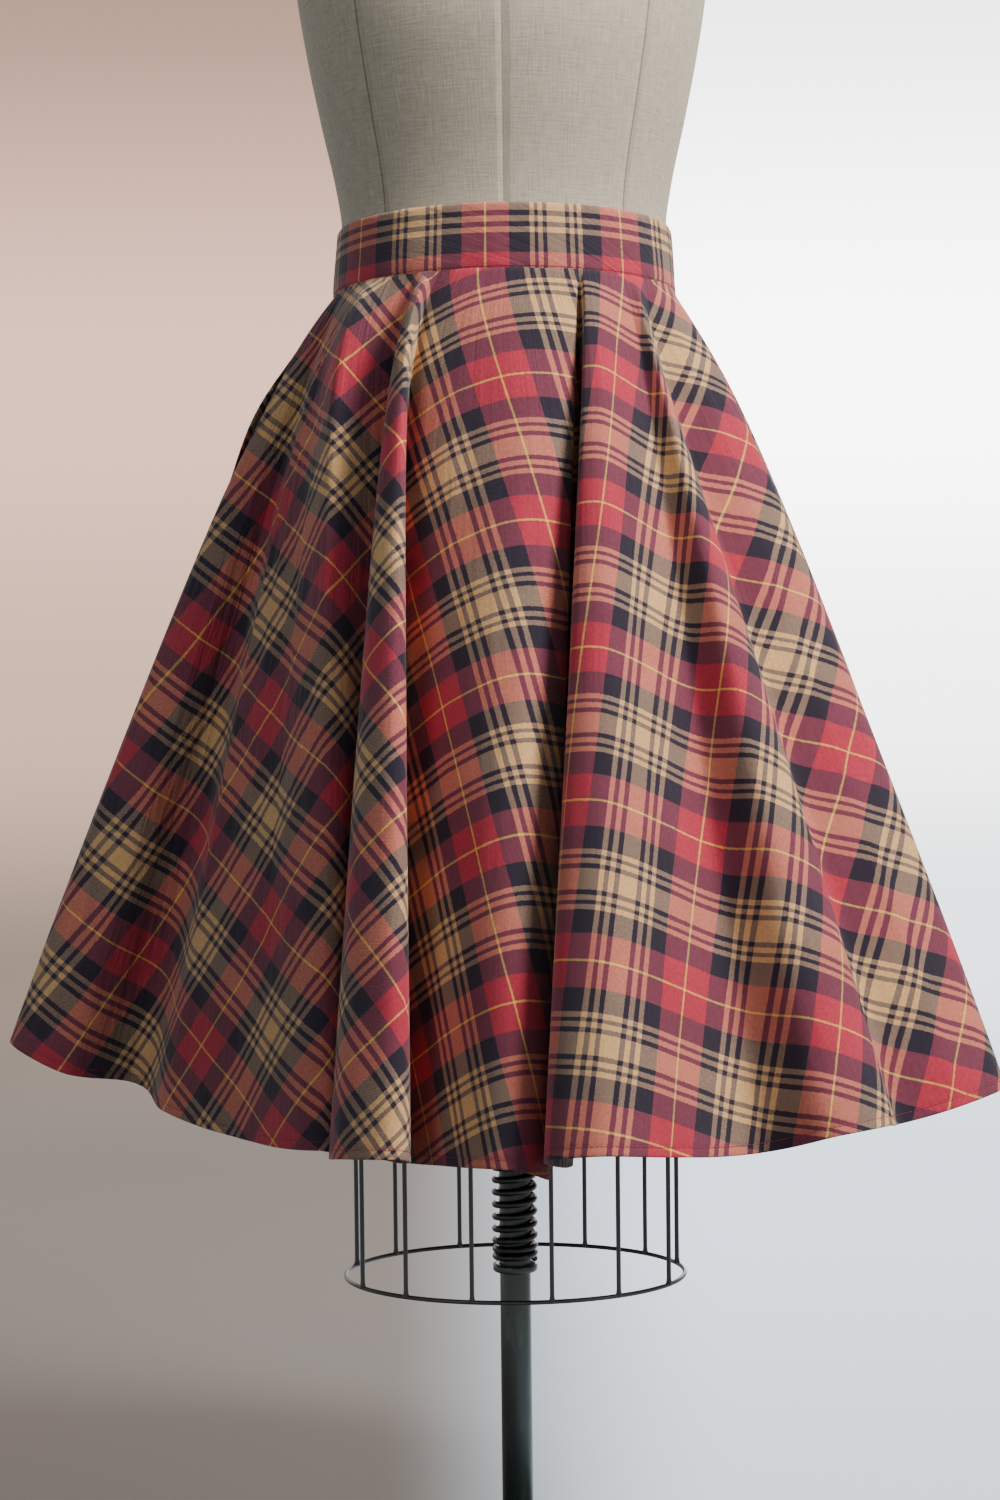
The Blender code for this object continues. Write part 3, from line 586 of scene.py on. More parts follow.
def foldCurves(at):
    # The hem curve turns at each fold along the line between its two neighbours.
    plan = folds[:, 2:4]
    chords = np.linalg.norm(np.diff(plan, axis=0), axis=1)
    heading = np.concatenate([plan[1:], plan[1:2]]) - np.concatenate([plan[-2:-1], plan[:-1]])
    heading = unit(heading) * skirt["foldRoundness"]
    index = np.clip(np.floor(at).astype(int), 0, len(plan) - 2)
    part, reach = (at - index)[:, None], chords[index][:, None]
    slopeIn, slopeOut = heading[index] * reach, heading[index + 1] * reach
    hemPlan = hermite(plan[index], plan[index + 1], slopeIn, slopeOut, part)
    swell = np.stack([np.interp(at, np.arange(len(folds)), folds[:, column]) for column in (4, 5)], -1)
    return easedAngles(folds[:, 0], at), easedAngles(folds[:, 1], at), hemPlan, swell


def flare(share):
    # Part of the run from waist to hem, quick at first: 0.85t + 0.158(t - t^2/2) + 0.071(1 - e^(-t/0.12)).
    return 0.85 * share + 0.158 * (share - share ** 2 / 2) + 0.071 * (1 - np.exp(-share / 0.12))


def hipSwell(share):
    # Part of a fold's swell at the hip: (1 - e^(-t/0.08))(1 - t).
    return (1 - np.exp(-share / 0.08)) * (1 - share)


def planAt(top, hemPlan, swell, shares):
    # Place in plan: waist + flare * (hem - waist) + hip swell * swell.
    along = flare(shares)[None, :, None] * (hemPlan - top)[:, None]
    return top[:, None] + along + hipSwell(shares)[None, :, None] * swell[:, None]


def skirtSurface(at, shares):
    # Rulings of fixed length: each step falls by sqrt(step^2 - (its move in plan)^2).
    waistAngle, hemAngle, hemPlan, swell = foldCurves(at)
    top = waistPlan(waistAngle)
    inner, outer = skirt["waistRadius"], skirt["hemRadius"]
    turned = np.radians(waistAngle - hemAngle)
    length = np.sqrt(inner ** 2 + outer ** 2 - 2 * inner * outer * np.cos(turned))
    edges = np.linspace(0.0, 1.0, skirt["fallSteps"] + 1)
    sideways = np.linalg.norm(np.diff(planAt(top, hemPlan, swell, edges), axis=1), axis=2)
    steep = np.sqrt((length[:, None] / skirt["fallSteps"]) ** 2 - sideways ** 2)
    fall = np.concatenate([np.zeros((len(at), 1)), np.cumsum(steep, axis=1)], axis=1)
    step = np.clip((shares * skirt["fallSteps"]).astype(int), 0, skirt["fallSteps"] - 1)
    fallen = fall[:, step] + (fall[:, step + 1] - fall[:, step]) * (shares * skirt["fallSteps"] - step)
    plan = planAt(top, hemPlan, swell, shares)
    surface = np.concatenate([plan, (skirt["seamZ"] - fallen)[..., None]], axis=2)
    return surface, np.radians(waistAngle), np.radians(hemAngle)


def flatPlaces(waistAngle, hemAngle, shares, centre):
    # Straight line in the cut from the waist arc to the hem arc, waist + t (hem - waist), moved
    # out by scoop * (1 - t^2) at the middle of the front.
    waist = skirt["waistRadius"] * np.stack([np.sin(waistAngle - centre), np.cos(waistAngle - centre)], -1)
    hem = skirt["hemRadius"] * np.stack([np.sin(hemAngle - centre), np.cos(hemAngle - centre)], -1)
    flat = waist[:, None] + shares[None, :, None] * (hem - waist)[:, None]
    degrees = np.degrees(hemAngle - centre)
    scoop = skirt["frontScoop"] * smoothStep(degrees, -62, -40) * (1 - smoothStep(degrees, 25, 52))
    return flat + unit(flat) * (scoop[:, None] * (1 - shares ** 2)[None, :])[..., None]


def foldSamples(start, end, count):
    # Sample places along the fold list, spread by 0.62 of hem length and 0.38 of fold number.
    fine = np.linspace(start, end, (end - start) * 40 + 1)
    walked = walkedAlong(foldCurves(fine)[2])
    weight = 0.62 * walked / walked[-1] + 0.38 * (fine - start) / (end - start)
    places = np.interp(np.linspace(0, 1, count - 6), weight, fine)
    edges = [start + 0.02, start + 0.06, start + 0.12, end - 0.12, end - 0.06, end - 0.02]
    return np.unique(np.concatenate([places, edges]))


def rowShares():
    # Rows go down as t^1.12, so they crowd at the waist, with a set of their own round the hem.
    middle = np.linspace(0.0, 1.0, skirt["middleRows"]) ** 1.12 * (fallLength - 0.012)
    aboveHem = [0.0105, 0.0092, 0.0085, 0.0078, 0.0066, 0.0050, 0.0034, 0.0020, 0.0011, 0.0005, 0.0]
    return np.concatenate([middle, fallLength - np.array(aboveHem)]) / fallLength


def uneven(name, across, below):
    # height * noise(across / size across, below / size down)
    height, sizeAcross, sizeDown, seed = softness[name]
    return height * valueNoise(across / sizeAcross, below / sizeDown, seed)


def softWaves(hemAngle, shares):
    # Sum of slow waves that grow with the fall, narrow creases in the upper part of each side
    # panel, and small puckers and a groove along the stitched hem.
    across = hemAngle[:, None] * skirt["hemRadius"]
    below = shares[None, :] * fallLength
    toHem = fallLength - below
    waves = uneven("slowWave", across, below) * smoothStep(shares, 0.05, 0.6)
    waves = waves + uneven("fineWave", across, below) * smoothStep(shares, 0.1, 0.8)
    atSide = bell(np.abs(np.degrees(hemAngle)), skirt["creaseAngle"], skirt["creaseSpread"])[:, None]
    inUpperPart = smoothStep(shares, 0.03, 0.16) * (1 - smoothStep(shares, 0.62, 1.0))
    creases = uneven("sideCrease", across, below) + uneven("thinCrease", across, below)
    waves = waves + creases * atSide * inUpperPart
    waves = waves + uneven("pucker", across, below + 0.06) * np.exp(-toHem / skirt["puckerReach"])
    return waves - skirt["stitchGroove"] * bell(toHem, skirt["stitchLine"], skirt["grooveWidth"])


def hemLayers(shares):
    # Extra wall inside the turned hem, eased in over 1.4 mm, and the share left at its round edge.
    toHem = (1 - shares) * fallLength
    depth = skirt["hemDepth"]
    extra = skirt["hemThickness"] * smoothStep(-toHem, -depth - 0.0004, -depth + 0.0010)
    return extra, roundedEdge(toHem, skirt["edgeRound"], 0.22)


def shellPiece(name, middle, normals, outside, inside, flat, material):
    # Closed wall: the middle moved out and in along its normals, joined round its four edges.
    columns, rows = middle.shape[:2]
    walls = [middle + normals * outside, middle - normals * inside]
    points = np.concatenate([wall.reshape(-1, 3) for wall in walls])
    outer = np.arange(columns * rows).reshape(columns, rows)
    inner = outer + columns * rows
    edges = [(slice(None), 0), (slice(None), -1), (0, slice(None)), (-1, slice(None))]
    sides = [gridQuads(np.stack([outer[edge], inner[edge]], 1)) for edge in edges]
    faces = np.concatenate([gridQuads(outer), gridQuads(inner)[:, ::-1], *sides])
    uvs = np.concatenate([flat.reshape(-1, 2)] * 2)
    return buildPiece(name, points, faces, material, uvs, 75.0)


def stitchRow(name, path, outward, sizes, material):
    # Equal stitches along a path, every stitch + space: each is a bead of five rings whose height
    # and width are eased from end to end, so that its ends dip into the cloth.
    steps = walkedAlong(path)
    pitch = sizes["stitch"] + sizes["space"]
    count = int(steps[-1] / pitch)
    along = np.array([0.0, 0.12, 0.5, 0.88, 1.0]) * sizes["stitch"]
    at = (np.arange(count) * pitch + sizes["space"] / 2)[:, None] + along
    centre = np.stack([np.interp(at, steps, path[:, axis]) for axis in range(3)], -1)
    away = unit(np.stack([np.interp(at, steps, outward[:, axis]) for axis in range(3)], -1))
    height = np.array([-0.00015, 0.00010, 0.00022, 0.00010, -0.00015])
    centre = centre + away * height[None, :, None]
    size = sizes["thread"] * np.array([0.35, 0.9, 1.0, 0.9, 0.35])
    points = wireRings(centre, size, 5, away)
    return buildPiece(name, points.reshape(-1, 3), tubeFaces(count, 5, 5), material, None, 80.0)


def loopNormals(grid):
    # Step down the column crossed with the step across to the next one, round a closed loop.
    ring = np.concatenate([grid[-2:-1], grid, grid[1:2]])
    return unit(np.cross(np.gradient(grid, axis=1), ring[2:] - ring[:-2]))


def pocketMouth(below):
    # sin^2(pi t) from the mouth's top to its end, else 0.
    inMouth = (below - skirt["pocketTop"]) / (skirt["pocketEnd"] - skirt["pocketTop"])
    return np.sin(math.pi * np.clip(inMouth, 0, 1)) ** 2


def makeSkirt(cloth, hemThread, placketThread):
    # The whole loop is worked out at once, surface + waves * normals, and then cut at the two seams
    # into panels, whose walls lie half a thickness to each side.
    shares = rowShares()
    front = foldSamples(0, seamIndex, skirt["frontColumns"])
    back = foldSamples(seamIndex, len(folds) - 1, skirt["backColumns"])
    split = len(front)
    surface, waistAngle, hemAngle = skirtSurface(np.concatenate([front, back[1:]]), shares)
    waves = softWaves(hemAngle, shares)
    waves[-1] = waves[0]
    surface = surface + loopNormals(surface) * waves[..., None]
    normals = loopNormals(surface)
    normals[:, 0, 2] = 0.0
    normals = unit(normals)
    surface[:, 0, 2] += skirt["underBand"]

    extra, roundEdge = hemLayers(shares)
    half = skirt["clothThickness"] / 2
    below = shares * fallLength
    mouth = pocketMouth(below)
    made = {}
    for name, columns, centre in (
        ("front_panel", slice(0, split), 0.0),
        ("back_panel", slice(split - 1, None), -math.radians(fullAngle) / 2),
    ):
        middle, away = surface[columns].copy(), normals[columns]
        degrees = np.degrees(hemAngle[columns])
        for edge, inner in ((0, 1), (-1, -2)):
            along = unit(np.cross(away[edge], np.gradient(middle[edge], axis=0)))
            inward = np.sign(((middle[inner] - middle[edge]) * along).sum())
            middle[edge] += skirt["seamGap"] / 2 * inward * along
        if name == "front_panel":
            pull = np.clip(1 - (skirt["seamAngle"] - degrees) / skirt["pullAngle"], 0, 1)
            middle -= away * (pull[:, None] * mouth * skirt["pocketPull"])[..., None]
        else:
            fromSeam = degrees - (skirt["seamAngle"] - fullAngle)
            gape = np.interp(fromSeam, skirt["gapeAngles"], skirt["gapeShares"])
            middle += away * (gape[:, None] * mouth * skirt["pocketGape"])[..., None]
        toSeam = np.radians(np.minimum(degrees[0] - degrees, degrees - degrees[-1]))
        valley = bell(toSeam[:, None] * below[None, :], 0.0, skirt["valleyWidth"])
        valley = skirt["seamValley"] * valley
        outside = (half * roundEdge)[None, :] - valley
        if name == "back_panel":
            beside = np.radians(degrees + fullAngle / 2)[:, None] * (below[None, :] + skirt["waistRadius"])
            foot, top, drop, end = skirt["placketEdges"]
            lap = smoothStep(beside, foot, top) * (1 - smoothStep(beside, drop, end))
            depth = skirt["placketDepth"]
            lap = lap * (1 - smoothStep(below, depth - 0.005, depth + 0.003))[None, :]
            outside = outside + skirt["placketStep"] * lap
        inside = np.broadcast_to(((half + extra) * roundEdge)[None, :], outside.shape)
        flat = flatPlaces(waistAngle[columns], hemAngle[columns], shares, centre)
        made[name] = shellPiece(name, middle, away, outside[..., None], inside[..., None], flat, cloth)
        row = int(np.argmin(np.abs(below[-1] - below - skirt["stitchLine"])))
        path = middle[:, row] + away[:, row] * outside[:, row, None]
        thread = name.replace("panel", "hem_thread")
        made[thread] = stitchRow(thread, path, away[:, row], stitches["hem"], hemThread)
        if name == "back_panel":
            column = int(np.argmin(np.abs(degrees + fullAngle / 2 - 0.9)))
            rows = slice(1, int(np.argmin(np.abs(below - depth + 0.002))))
            path = (middle + away * outside[..., None])[column, rows]
            outward, sizes = away[column, rows], stitches["hem"]
            made["placket_thread"] = stitchRow("placket_thread", path, outward, sizes, placketThread)
    return made


# Waistband.

band = {
    "height": 0.051,
    "wall": 0.0024,
    "taper": 0.0038,
    "lap": 0.034,
    "lapEase": 1.2,
    "lapRise": 0.0029,
    "columns": 300,
    "rows": 26,
    "stitchUp": 0.0019,
    "edgeRound": 0.0018,
    "grooveDepth": 0.00045,
    "grooveWidth": 0.0011,
    "yellowAt": 0.0148,
    "yellowBelow": 0.0084,
}


def bandSurface():
    # A tapering ellipse carried round from the centre back; its end rises over its start.
    lapTurn = band["lap"] / skirt["waistHalfWidth"]
    turn = np.linspace(math.pi, -math.pi - lapTurn, band["columns"])
    rise = np.clip((-math.pi + (1 + band["lapEase"]) * lapTurn - turn) / (band["lapEase"] * lapTurn), 0, 1)
    rise = band["lapRise"] * smoothStep(rise, 0.0, 1.0)
    height = band["height"] * (1 - np.linspace(0.0, 1.0, band["rows"]))
    edge = np.minimum(height, band["height"] - height)
    inset = band["taper"] * height / band["height"]
    walked = np.interp(turn % (2 * math.pi), walkTurn, walkLength)
    walked = np.where(turn < 0, walked - walkLength[-1], walked)
    soft = uneven("bandWave", walked[:, None] + 0.9, height) * smoothStep(edge, 0.0, 0.01)
    soft = soft + uneven("bandCrease", walked[:, None] + 0.48, height)
    out = rise[:, None] - inset[None, :] + soft
    x = -(skirt["waistHalfWidth"] + out) * np.sin(turn)[:, None]
    y = -(skirt["waistHalfDepth"] + out) * np.cos(turn)[:, None]
    z = skirt["seamZ"] + np.broadcast_to(height, x.shape) + 0.0002
    return np.stack([x, y, z], -1), walked, height


def makeBand(cloth, thread):
    # Half the wall to each side of the surface, rounded at both edges; the cut's x is the height
    # and its y the length walked, set so that a yellow yarn runs where the band shows one.
    middle, walked, height = bandSurface()
    normals = unit(np.cross(np.gradient(middle, axis=1), np.gradient(middle, axis=0)))
    roundEdge = roundedEdge(np.minimum(height, band["height"] - height), band["edgeRound"], 0.3)
    groove = band["grooveDepth"] * bell(height, band["stitchUp"], band["grooveWidth"])
    outside = (band["wall"] / 2 * roundEdge - groove)[None, :, None]
    inside = (band["wall"] / 2 * roundEdge)[None, :, None]
    across = height + band["yellowBelow"] + plaid["acrossRepeat"] / 2
    down = walked - band["yellowAt"] + plaid["downStart"]
    flat = np.stack(np.broadcast_arrays(across[None, :], down[:, None]), -1)
    piece = shellPiece("waistband_cloth", middle, normals, outside, inside, flat, cloth)
    row = int(np.argmin(np.abs(height - band["stitchUp"])))
    path = middle[:, row] + normals[:, row] * outside[0, row]
    return piece, stitchRow("band_thread", path, normals[:, row], stitches["band"], thread)


# Button on the lap.

button = {"diameter": 0.018, "sides": 64, "eyeSpread": 0.0021, "thread": 0.00035}


def makeButton(material, threadMaterial):
    # A lathed disc with a raised rim, turned to face the centre back along the band's slope.
    lean = math.atan2(band["taper"], band["height"])
    middleZ = skirt["seamZ"] + band["height"] / 2
    seat = skirt["waistHalfDepth"] - band["taper"] / 2 + band["lapRise"] + band["wall"] / 2 + 0.0002
    radius = button["diameter"] / 2
    corners = [
        (0.0004, 0.0), (0.7 * radius, 0.0), (radius, 0.0010), (radius, 0.0026), (0.88 * radius, 0.0034),
        (0.74 * radius, 0.0030), (0.62 * radius, 0.0021), (0.0004, 0.0021),
    ]
    rings = turnedRings(roundedProfile(corners, 0.0009), button["sides"])

    def toBack(points):
        # x stays, the disc's own y goes up the band and its own z goes out to the back
        up, out = points[..., 1], points[..., 2]
        y = seat + out * math.cos(lean) - up * math.sin(lean)
        z = middleZ + up * math.cos(lean) + out * math.sin(lean)
        return np.stack([points[..., 0], y, z], -1)

    disc = sweptBody("button_disc", toBack(rings), material)
    # four strands through the eyes, the inner two lying on the outer ones
    spread, strand = button["eyeSpread"], button["thread"]
    part = np.linspace(0.0, math.pi, 9)
    loops = []
    for x, offset in ((-spread, 0.0), (spread, 0.0), (-spread * 0.7, strand), (spread * 0.7, strand)):
        y = -spread * np.cos(part)
        z = 0.0019 + offset + 0.0009 * np.sin(part)
        loops.append(np.stack([np.full(9, x), y, z], -1))
    paths = np.array(loops)
    turn = np.arange(6) / 6 * 2 * math.pi
    section = np.stack([np.cos(turn), np.zeros(6), np.sin(turn)], -1) * strand
    tubes = toBack(paths[:, :, None] + section)
    faces = tubeFaces(len(loops), 9, 6)
    return disc, buildPiece("button_thread", tubes.reshape(-1, 3), faces, threadMaterial)


# Dress form.

form = {
    "bottomZ": 0.860,
    "columns": 192,
    "rows": 150,
    "panels": 8,
    "capHeight": 0.022,
    "hubDiameter": 0.070,
    "hubHeight": 0.034,
}
# height, half width, half depth to the front and to the back
formRings = np.array([
    (0.860, 0.150, 0.0860, 0.108), (0.900, 0.152, 0.0870, 0.112), (0.950, 0.150, 0.0880, 0.110),
    (1.000, 0.144, 0.0905, 0.102), (1.040, 0.139, 0.0940, 0.097), (1.080, 0.1325, 0.0955, 0.0955),
    (1.131, 0.1290, 0.0925, 0.0925), (1.170, 0.134, 0.0970, 0.094), (1.220, 0.145, 0.1090, 0.099),
    (1.270, 0.155, 0.1180, 0.104), (1.320, 0.163, 0.1130, 0.107), (1.370, 0.168, 0.0960, 0.103),
    (1.410, 0.160, 0.0800, 0.092), (1.440, 0.128, 0.0680, 0.076), (1.458, 0.088, 0.0600, 0.064),
    (1.472, 0.061, 0.0560, 0.058), (1.500, 0.055, 0.0530, 0.053),
])


def splineRows(table, count):
    # Catmull-Rom curve through the rows: each tangent is half the step between its neighbours.
    ends = np.concatenate([2 * table[:1] - table[1:2], table, 2 * table[-1:] - table[-2:-1]])
    tangents = (ends[2:] - ends[:-2]) / 2
    at = np.linspace(0, len(table) - 1, count)
    index = np.clip(at.astype(int), 0, len(table) - 2)
    part = (at - index)[:, None]
    return hermite(table[index], table[index + 1], tangents[index], tangents[index + 1], part)


def makeTorso(material):
    # Half ellipses front and back at each height of the eased table.
    rows = splineRows(formRings, form["rows"])
    turn = np.arange(form["columns"]) / form["columns"] * 2 * math.pi
    depth = np.where(np.cos(turn)[None] > 0, rows[:, 2:3], rows[:, 3:4])
    x = -rows[:, 1:2] * np.sin(turn)
    y = -depth * np.cos(turn)
    z = np.broadcast_to(rows[:, :1], x.shape)
    rings = np.stack([x, y, z], -1)
    around = np.broadcast_to(turn / (2 * math.pi), x.shape)
    uvs = np.stack([around, z], -1).reshape(-1, 2)
    return sweptBody("torso_cover", rings, material, uvs=uvs, creaseDegrees=50.0)


def tubeRings(outer, inner, bottom, top, chamfer, sides):
    # Profile of a tube's wall, round its four bevelled edges, closed on itself.
    corners = [
        (outer, bottom + chamfer), (outer, top - chamfer),
        (outer - chamfer, top), (inner + chamfer, top),
        (inner, top - chamfer), (inner, bottom + chamfer),
        (inner + chamfer, bottom), (outer - chamfer, bottom),
    ]
    return turnedRings(corners, sides)


def makeCap(material):
    # A turned cap: its profile rises from the neck's radius to a flat crown, every corner eased.
    bottom = formRings[-1, 0] + 0.0003
    radius = formRings[-1, 1]
    corners = [
        (0.001, bottom), (radius - 0.001, bottom), (radius + 0.002, bottom + 0.004),
        (radius - 0.001, bottom + 0.012), (radius - 0.016, bottom + 0.019),
        (0.012, bottom + form["capHeight"]), (0.001, bottom + form["capHeight"]),
    ]
    return sweptBody("neck_cap_wood", turnedRings(roundedProfile(corners, 0.006), 96), material)


# Cage.

cage = {
    "ringZ": 0.3035,
    "halfWidth": 0.135,
    "halfDepth": 0.099,
    "ringWire": 0.0034,
    "wire": 0.0036,
    "inset": 0.006,
    "angles": (61.5, 38.4, 14.3, -11.5, -35.3, -61.6, -104, -127, -154, -177, -200, -227, -252),
    "bead": 0.0026,
}


def cagePlaces(turn, z):
    # Straight at the ring, then spreading with the square of the rise to the form's lower edge.
    foot = formRings[0]
    spread = ((z - cage["ringZ"]) / (form["bottomZ"] - cage["ringZ"])) ** 2
    depth = np.where(np.cos(turn) > 0, foot[2], foot[3])
    halfWidth = cage["halfWidth"] + (foot[1] - cage["inset"] - cage["halfWidth"]) * spread
    halfDepth = cage["halfDepth"] + (depth - cage["inset"] - cage["halfDepth"]) * spread
    return np.stack(np.broadcast_arrays(-halfWidth * np.sin(turn), -halfDepth * np.cos(turn), z), -1)


def makeCage(material):
    # The hoop is a ring swept on itself; the uprights are equal tubes of radius
    # wire / 2 + (bead - wire / 2) * e^(-((z - bead's z) / 2.2 mm)^2).
    turn = np.arange(144) / 144 * 2 * math.pi
    ring = cagePlaces(turn, np.full(144, cage["ringZ"]))
    looped = np.concatenate([ring[-2:], ring, ring[:2]])
    rings = wireRings(looped, cage["ringWire"] / 2, 12)[2:-2]
    madeRing = sweptBody("cage_hoop", rings, material, closedPath=True, creaseDegrees=80)

    # each upright swells into a weld bead where it stands on the hoop
    angles = np.radians(cage["angles"])[:, None]
    low, high = cage["ringZ"] - 0.0008, form["bottomZ"] - 0.0003
    atBead = low + np.array([0.0, 0.0008, 0.002, 0.0035, 0.006, 0.010])
    heights = np.concatenate([atBead, np.linspace(low + 0.03, high, 18)])
    paths = cagePlaces(angles, heights[None, :])
    bead = bell(heights, low + 0.0012, 0.0022)
    swell = cage["wire"] / 2 + (cage["bead"] - cage["wire"] / 2) * bead
    swell[0] = cage["wire"] / 2
    rings = wireRings(paths, np.broadcast_to(swell, paths.shape[:2]), 10)
    faces = tubeFaces(*rings.shape[:3])
    return madeRing, buildPiece("cage_uprights", rings.reshape(-1, 3), faces, material, None, 70)


# Pole, spring and plate.

stand = {
    "poleDiameter": 0.0246, "poleWall": 0.0020, "poleTop": 0.520,
    "liftDiameter": 0.0200, "liftBottom": 0.220,
    "springOuter": 0.0366, "springWire": 0.0055, "springPitch": 0.0098, "springBottom": 0.3110,
    "openTurns": 9, "closedTurns": 2,
    "collarDiameter": 0.0355, "collarHeight": 0.0055,
    "plateDiameter": 0.420, "plateHeight": 0.012, "hubDiameter": 0.060, "hubHeight": 0.052,
    "gap": 0.0003,
}


def makeSpring(material):
    # Helix of height lap * closed + o^2 / (o + 1/2) * (pitch - closed), where o counts the laps past
    # the closed turns. Its two end points thin to a cut end.
    perTurn = 36
    closed = stand["springWire"] + stand["gap"]
    lap = np.arange((stand["closedTurns"] + stand["openTurns"]) * perTurn + 1) / perTurn
    opened = np.clip(lap - stand["closedTurns"], 0.0, None)
    ease = opened ** 2 / (opened + 0.5)
    height = lap * closed + ease * (stand["springPitch"] - closed)
    radius = (stand["springOuter"] - stand["springWire"]) / 2
    angle = lap * 2 * math.pi
    z = stand["springBottom"] + stand["springWire"] / 2 + height
    path = np.stack([radius * np.cos(angle), radius * np.sin(angle), z], -1)
    size = np.full(len(path), stand["springWire"] / 2)
    size[[0, -1]] *= 0.8
    return sweptBody("spring_coil", wireRings(path, size, 16), material, creaseDegrees=60)


def makeStand(poleGreen, iron, steel):
    # Turned bodies about the z axis: tubes for the pole, the collar and the form's socket, closed
    # profiles for the lifting rod and the plate with its hub.
    gap, halfPole = stand["gap"], stand["poleDiameter"] / 2
    low = stand["hubHeight"] + gap
    rings = tubeRings(halfPole, halfPole - stand["poleWall"], low, stand["poleTop"], 0.0006, 72)
    pole = sweptBody("pole_body", rings, poleGreen, True)
    top = stand["springBottom"] - gap
    halfCollar = stand["collarDiameter"] / 2
    rings = tubeRings(halfCollar, halfPole + gap, top - stand["collarHeight"], top, 0.0007, 72)
    collar = sweptBody("collar_ring", rings, poleGreen, True)
    halfLift = stand["liftDiameter"] / 2
    liftTop = form["bottomZ"] - 2 * gap
    low = stand["liftBottom"]
    corners = [(0.0005, low), (halfLift, low), (halfLift, liftTop), (0.0005, liftTop)]
    lift = sweptBody("lift_rod", turnedRings(roundedProfile(corners, 0.001), 64), steel)
    half, height, halfHub = stand["plateDiameter"] / 2, stand["plateHeight"], stand["hubDiameter"] / 2
    corners = [
        (0.001, 0.0), (half - 0.004, 0.0), (half, 0.004), (half, height - 0.005), (half - 0.006, height),
        (halfHub + 0.030, height + 0.005), (halfHub + 0.004, height + 0.016), (halfHub, height + 0.022),
        (halfHub, stand["hubHeight"] - 0.003), (halfHub - 0.003, stand["hubHeight"]),
        (0.001, stand["hubHeight"]),
    ]
    rings = turnedRings(roundedProfile(corners, 0.006, 5), 160)
    plate = sweptBody("plate_casting", rings, iron, creaseDegrees=35)
    top = form["bottomZ"] - gap
    rings = tubeRings(form["hubDiameter"] / 2, halfLift + gap, top - form["hubHeight"], top, 0.0015, 72)
    hub = sweptBody("form_socket", rings, iron, True)
    return pole, collar, lift, plate, hub


# Finishes of the form and the stand.

linen = {
    "colour": (0.6, 0.53, 0.42),
    "yarns": [(0.32, (0.40, 0.335, 0.245)), (0.52, (0.56, 0.49, 0.38)), (0.7, (0.68, 0.61, 0.49))],
    "stain": (0.42, 0.35, 0.25),
    "seam": (0.16, 0.12, 0.08),
    # length round the form, pitch of the weave, half width of a seam's line as a share of a panel
    "girth": 0.86,
    "pitch": 0.0011,
    "seamLine": 0.0075,
}
wood = {
    "dark": (0.11, 0.045, 0.018), "light": (0.27, 0.13, 0.055), "pore": (0.06, 0.025, 0.012),
    "finish": {"Coat Weight": 0.5, "Coat Roughness": 0.2},
    "grain": {"Scale": 42.0, "Distortion": 5.0, "Detail": 3.0, "Detail Scale": 0.6},
}
# colour, colour under it, roughness, metallic, share rubbed through, noise bumps a metre
enamels = {
    "cageEnamel": ((0.010, 0.010, 0.011), (0.05, 0.047, 0.043), 0.36, 0.2, 0.03, 240.0),
    "springOxide": ((0.010, 0.010, 0.011), (0.06, 0.055, 0.05), 0.34, 0.6, 0.05, 240.0),
    "poleEnamel": ((0.024, 0.034, 0.031), (0.10, 0.10, 0.09), 0.34, 0.35, 0.06, 420.0),
    "plateEnamel": ((0.014, 0.015, 0.015), (0.05, 0.045, 0.04), 0.42, 0.3, 0.04, 160.0),
    "buttonResin": ((0.07, 0.012, 0.015), (0.14, 0.03, 0.03), 0.22, 0.0, 0.1, 240.0),
}
threads = {
    "burgundyThread": (0.30, 0.025, 0.05),
    "placketThread": (0.20, 0.02, 0.035),
    "bandThread": (0.17, 0.02, 0.03),
}


def makeLinen():
    # UV is (turn, height): weave = sin(2 pi x / pitch) * sin(2 pi z / pitch), with slubs both ways
    # and a dark line where panels * turn comes near a whole number.
    material, tree, shader = newMaterial("linenCover", linen["colour"], 0.88, 0.0, 0.2)
    turn, height = apart(tree, place(tree, "UV"))[:2]
    metres = joined(tree, maths(tree, "MULTIPLY", turn, linen["girth"]), height)
    wave = 2 * math.pi / linen["pitch"]
    across = maths(tree, "SINE", maths(tree, "MULTIPLY", turn, linen["girth"] * wave))
    down = maths(tree, "SINE", maths(tree, "MULTIPLY", height, wave))
    slubs = [noise(tree, stretched(tree, metres, scale), 1.0, 3.0, 0.6)
             for scale in ((60.0, 700.0, 1.0), (700.0, 50.0, 1.0))]
    yarn = maths(tree, "MULTIPLY", maths(tree, "ADD", *slubs), 0.5)
    slow = maths(tree, "MULTIPLY", noise(tree, metres, 7.0, 3.0), 0.25)
    colour = mixed(tree, slow, ramp(tree, yarn, linen["yarns"]), (*linen["stain"], 1.0))
    seam = maths(tree, "PINGPONG", maths(tree, "MULTIPLY", turn, form["panels"]), 0.5)
    line = maths(tree, "MULTIPLY", maths(tree, "LESS_THAN", seam, linen["seamLine"]), 0.65)
    colour = mixed(tree, line, colour, (*linen["seam"], 1.0))
    valley = maths(tree, "SMOOTH_MIN", maths(tree, "MULTIPLY", seam, 22.0), 1.0, 0.3)
    relief = bump(tree, valley, 0.0016)
    relief = bump(tree, yarn, 0.0004, 1.0, relief)
    relief = bump(tree, maths(tree, "MULTIPLY", across, down), 0.00008, 0.8, relief)
    wireUp(tree, shader, colour=colour, normal=relief)
    return material


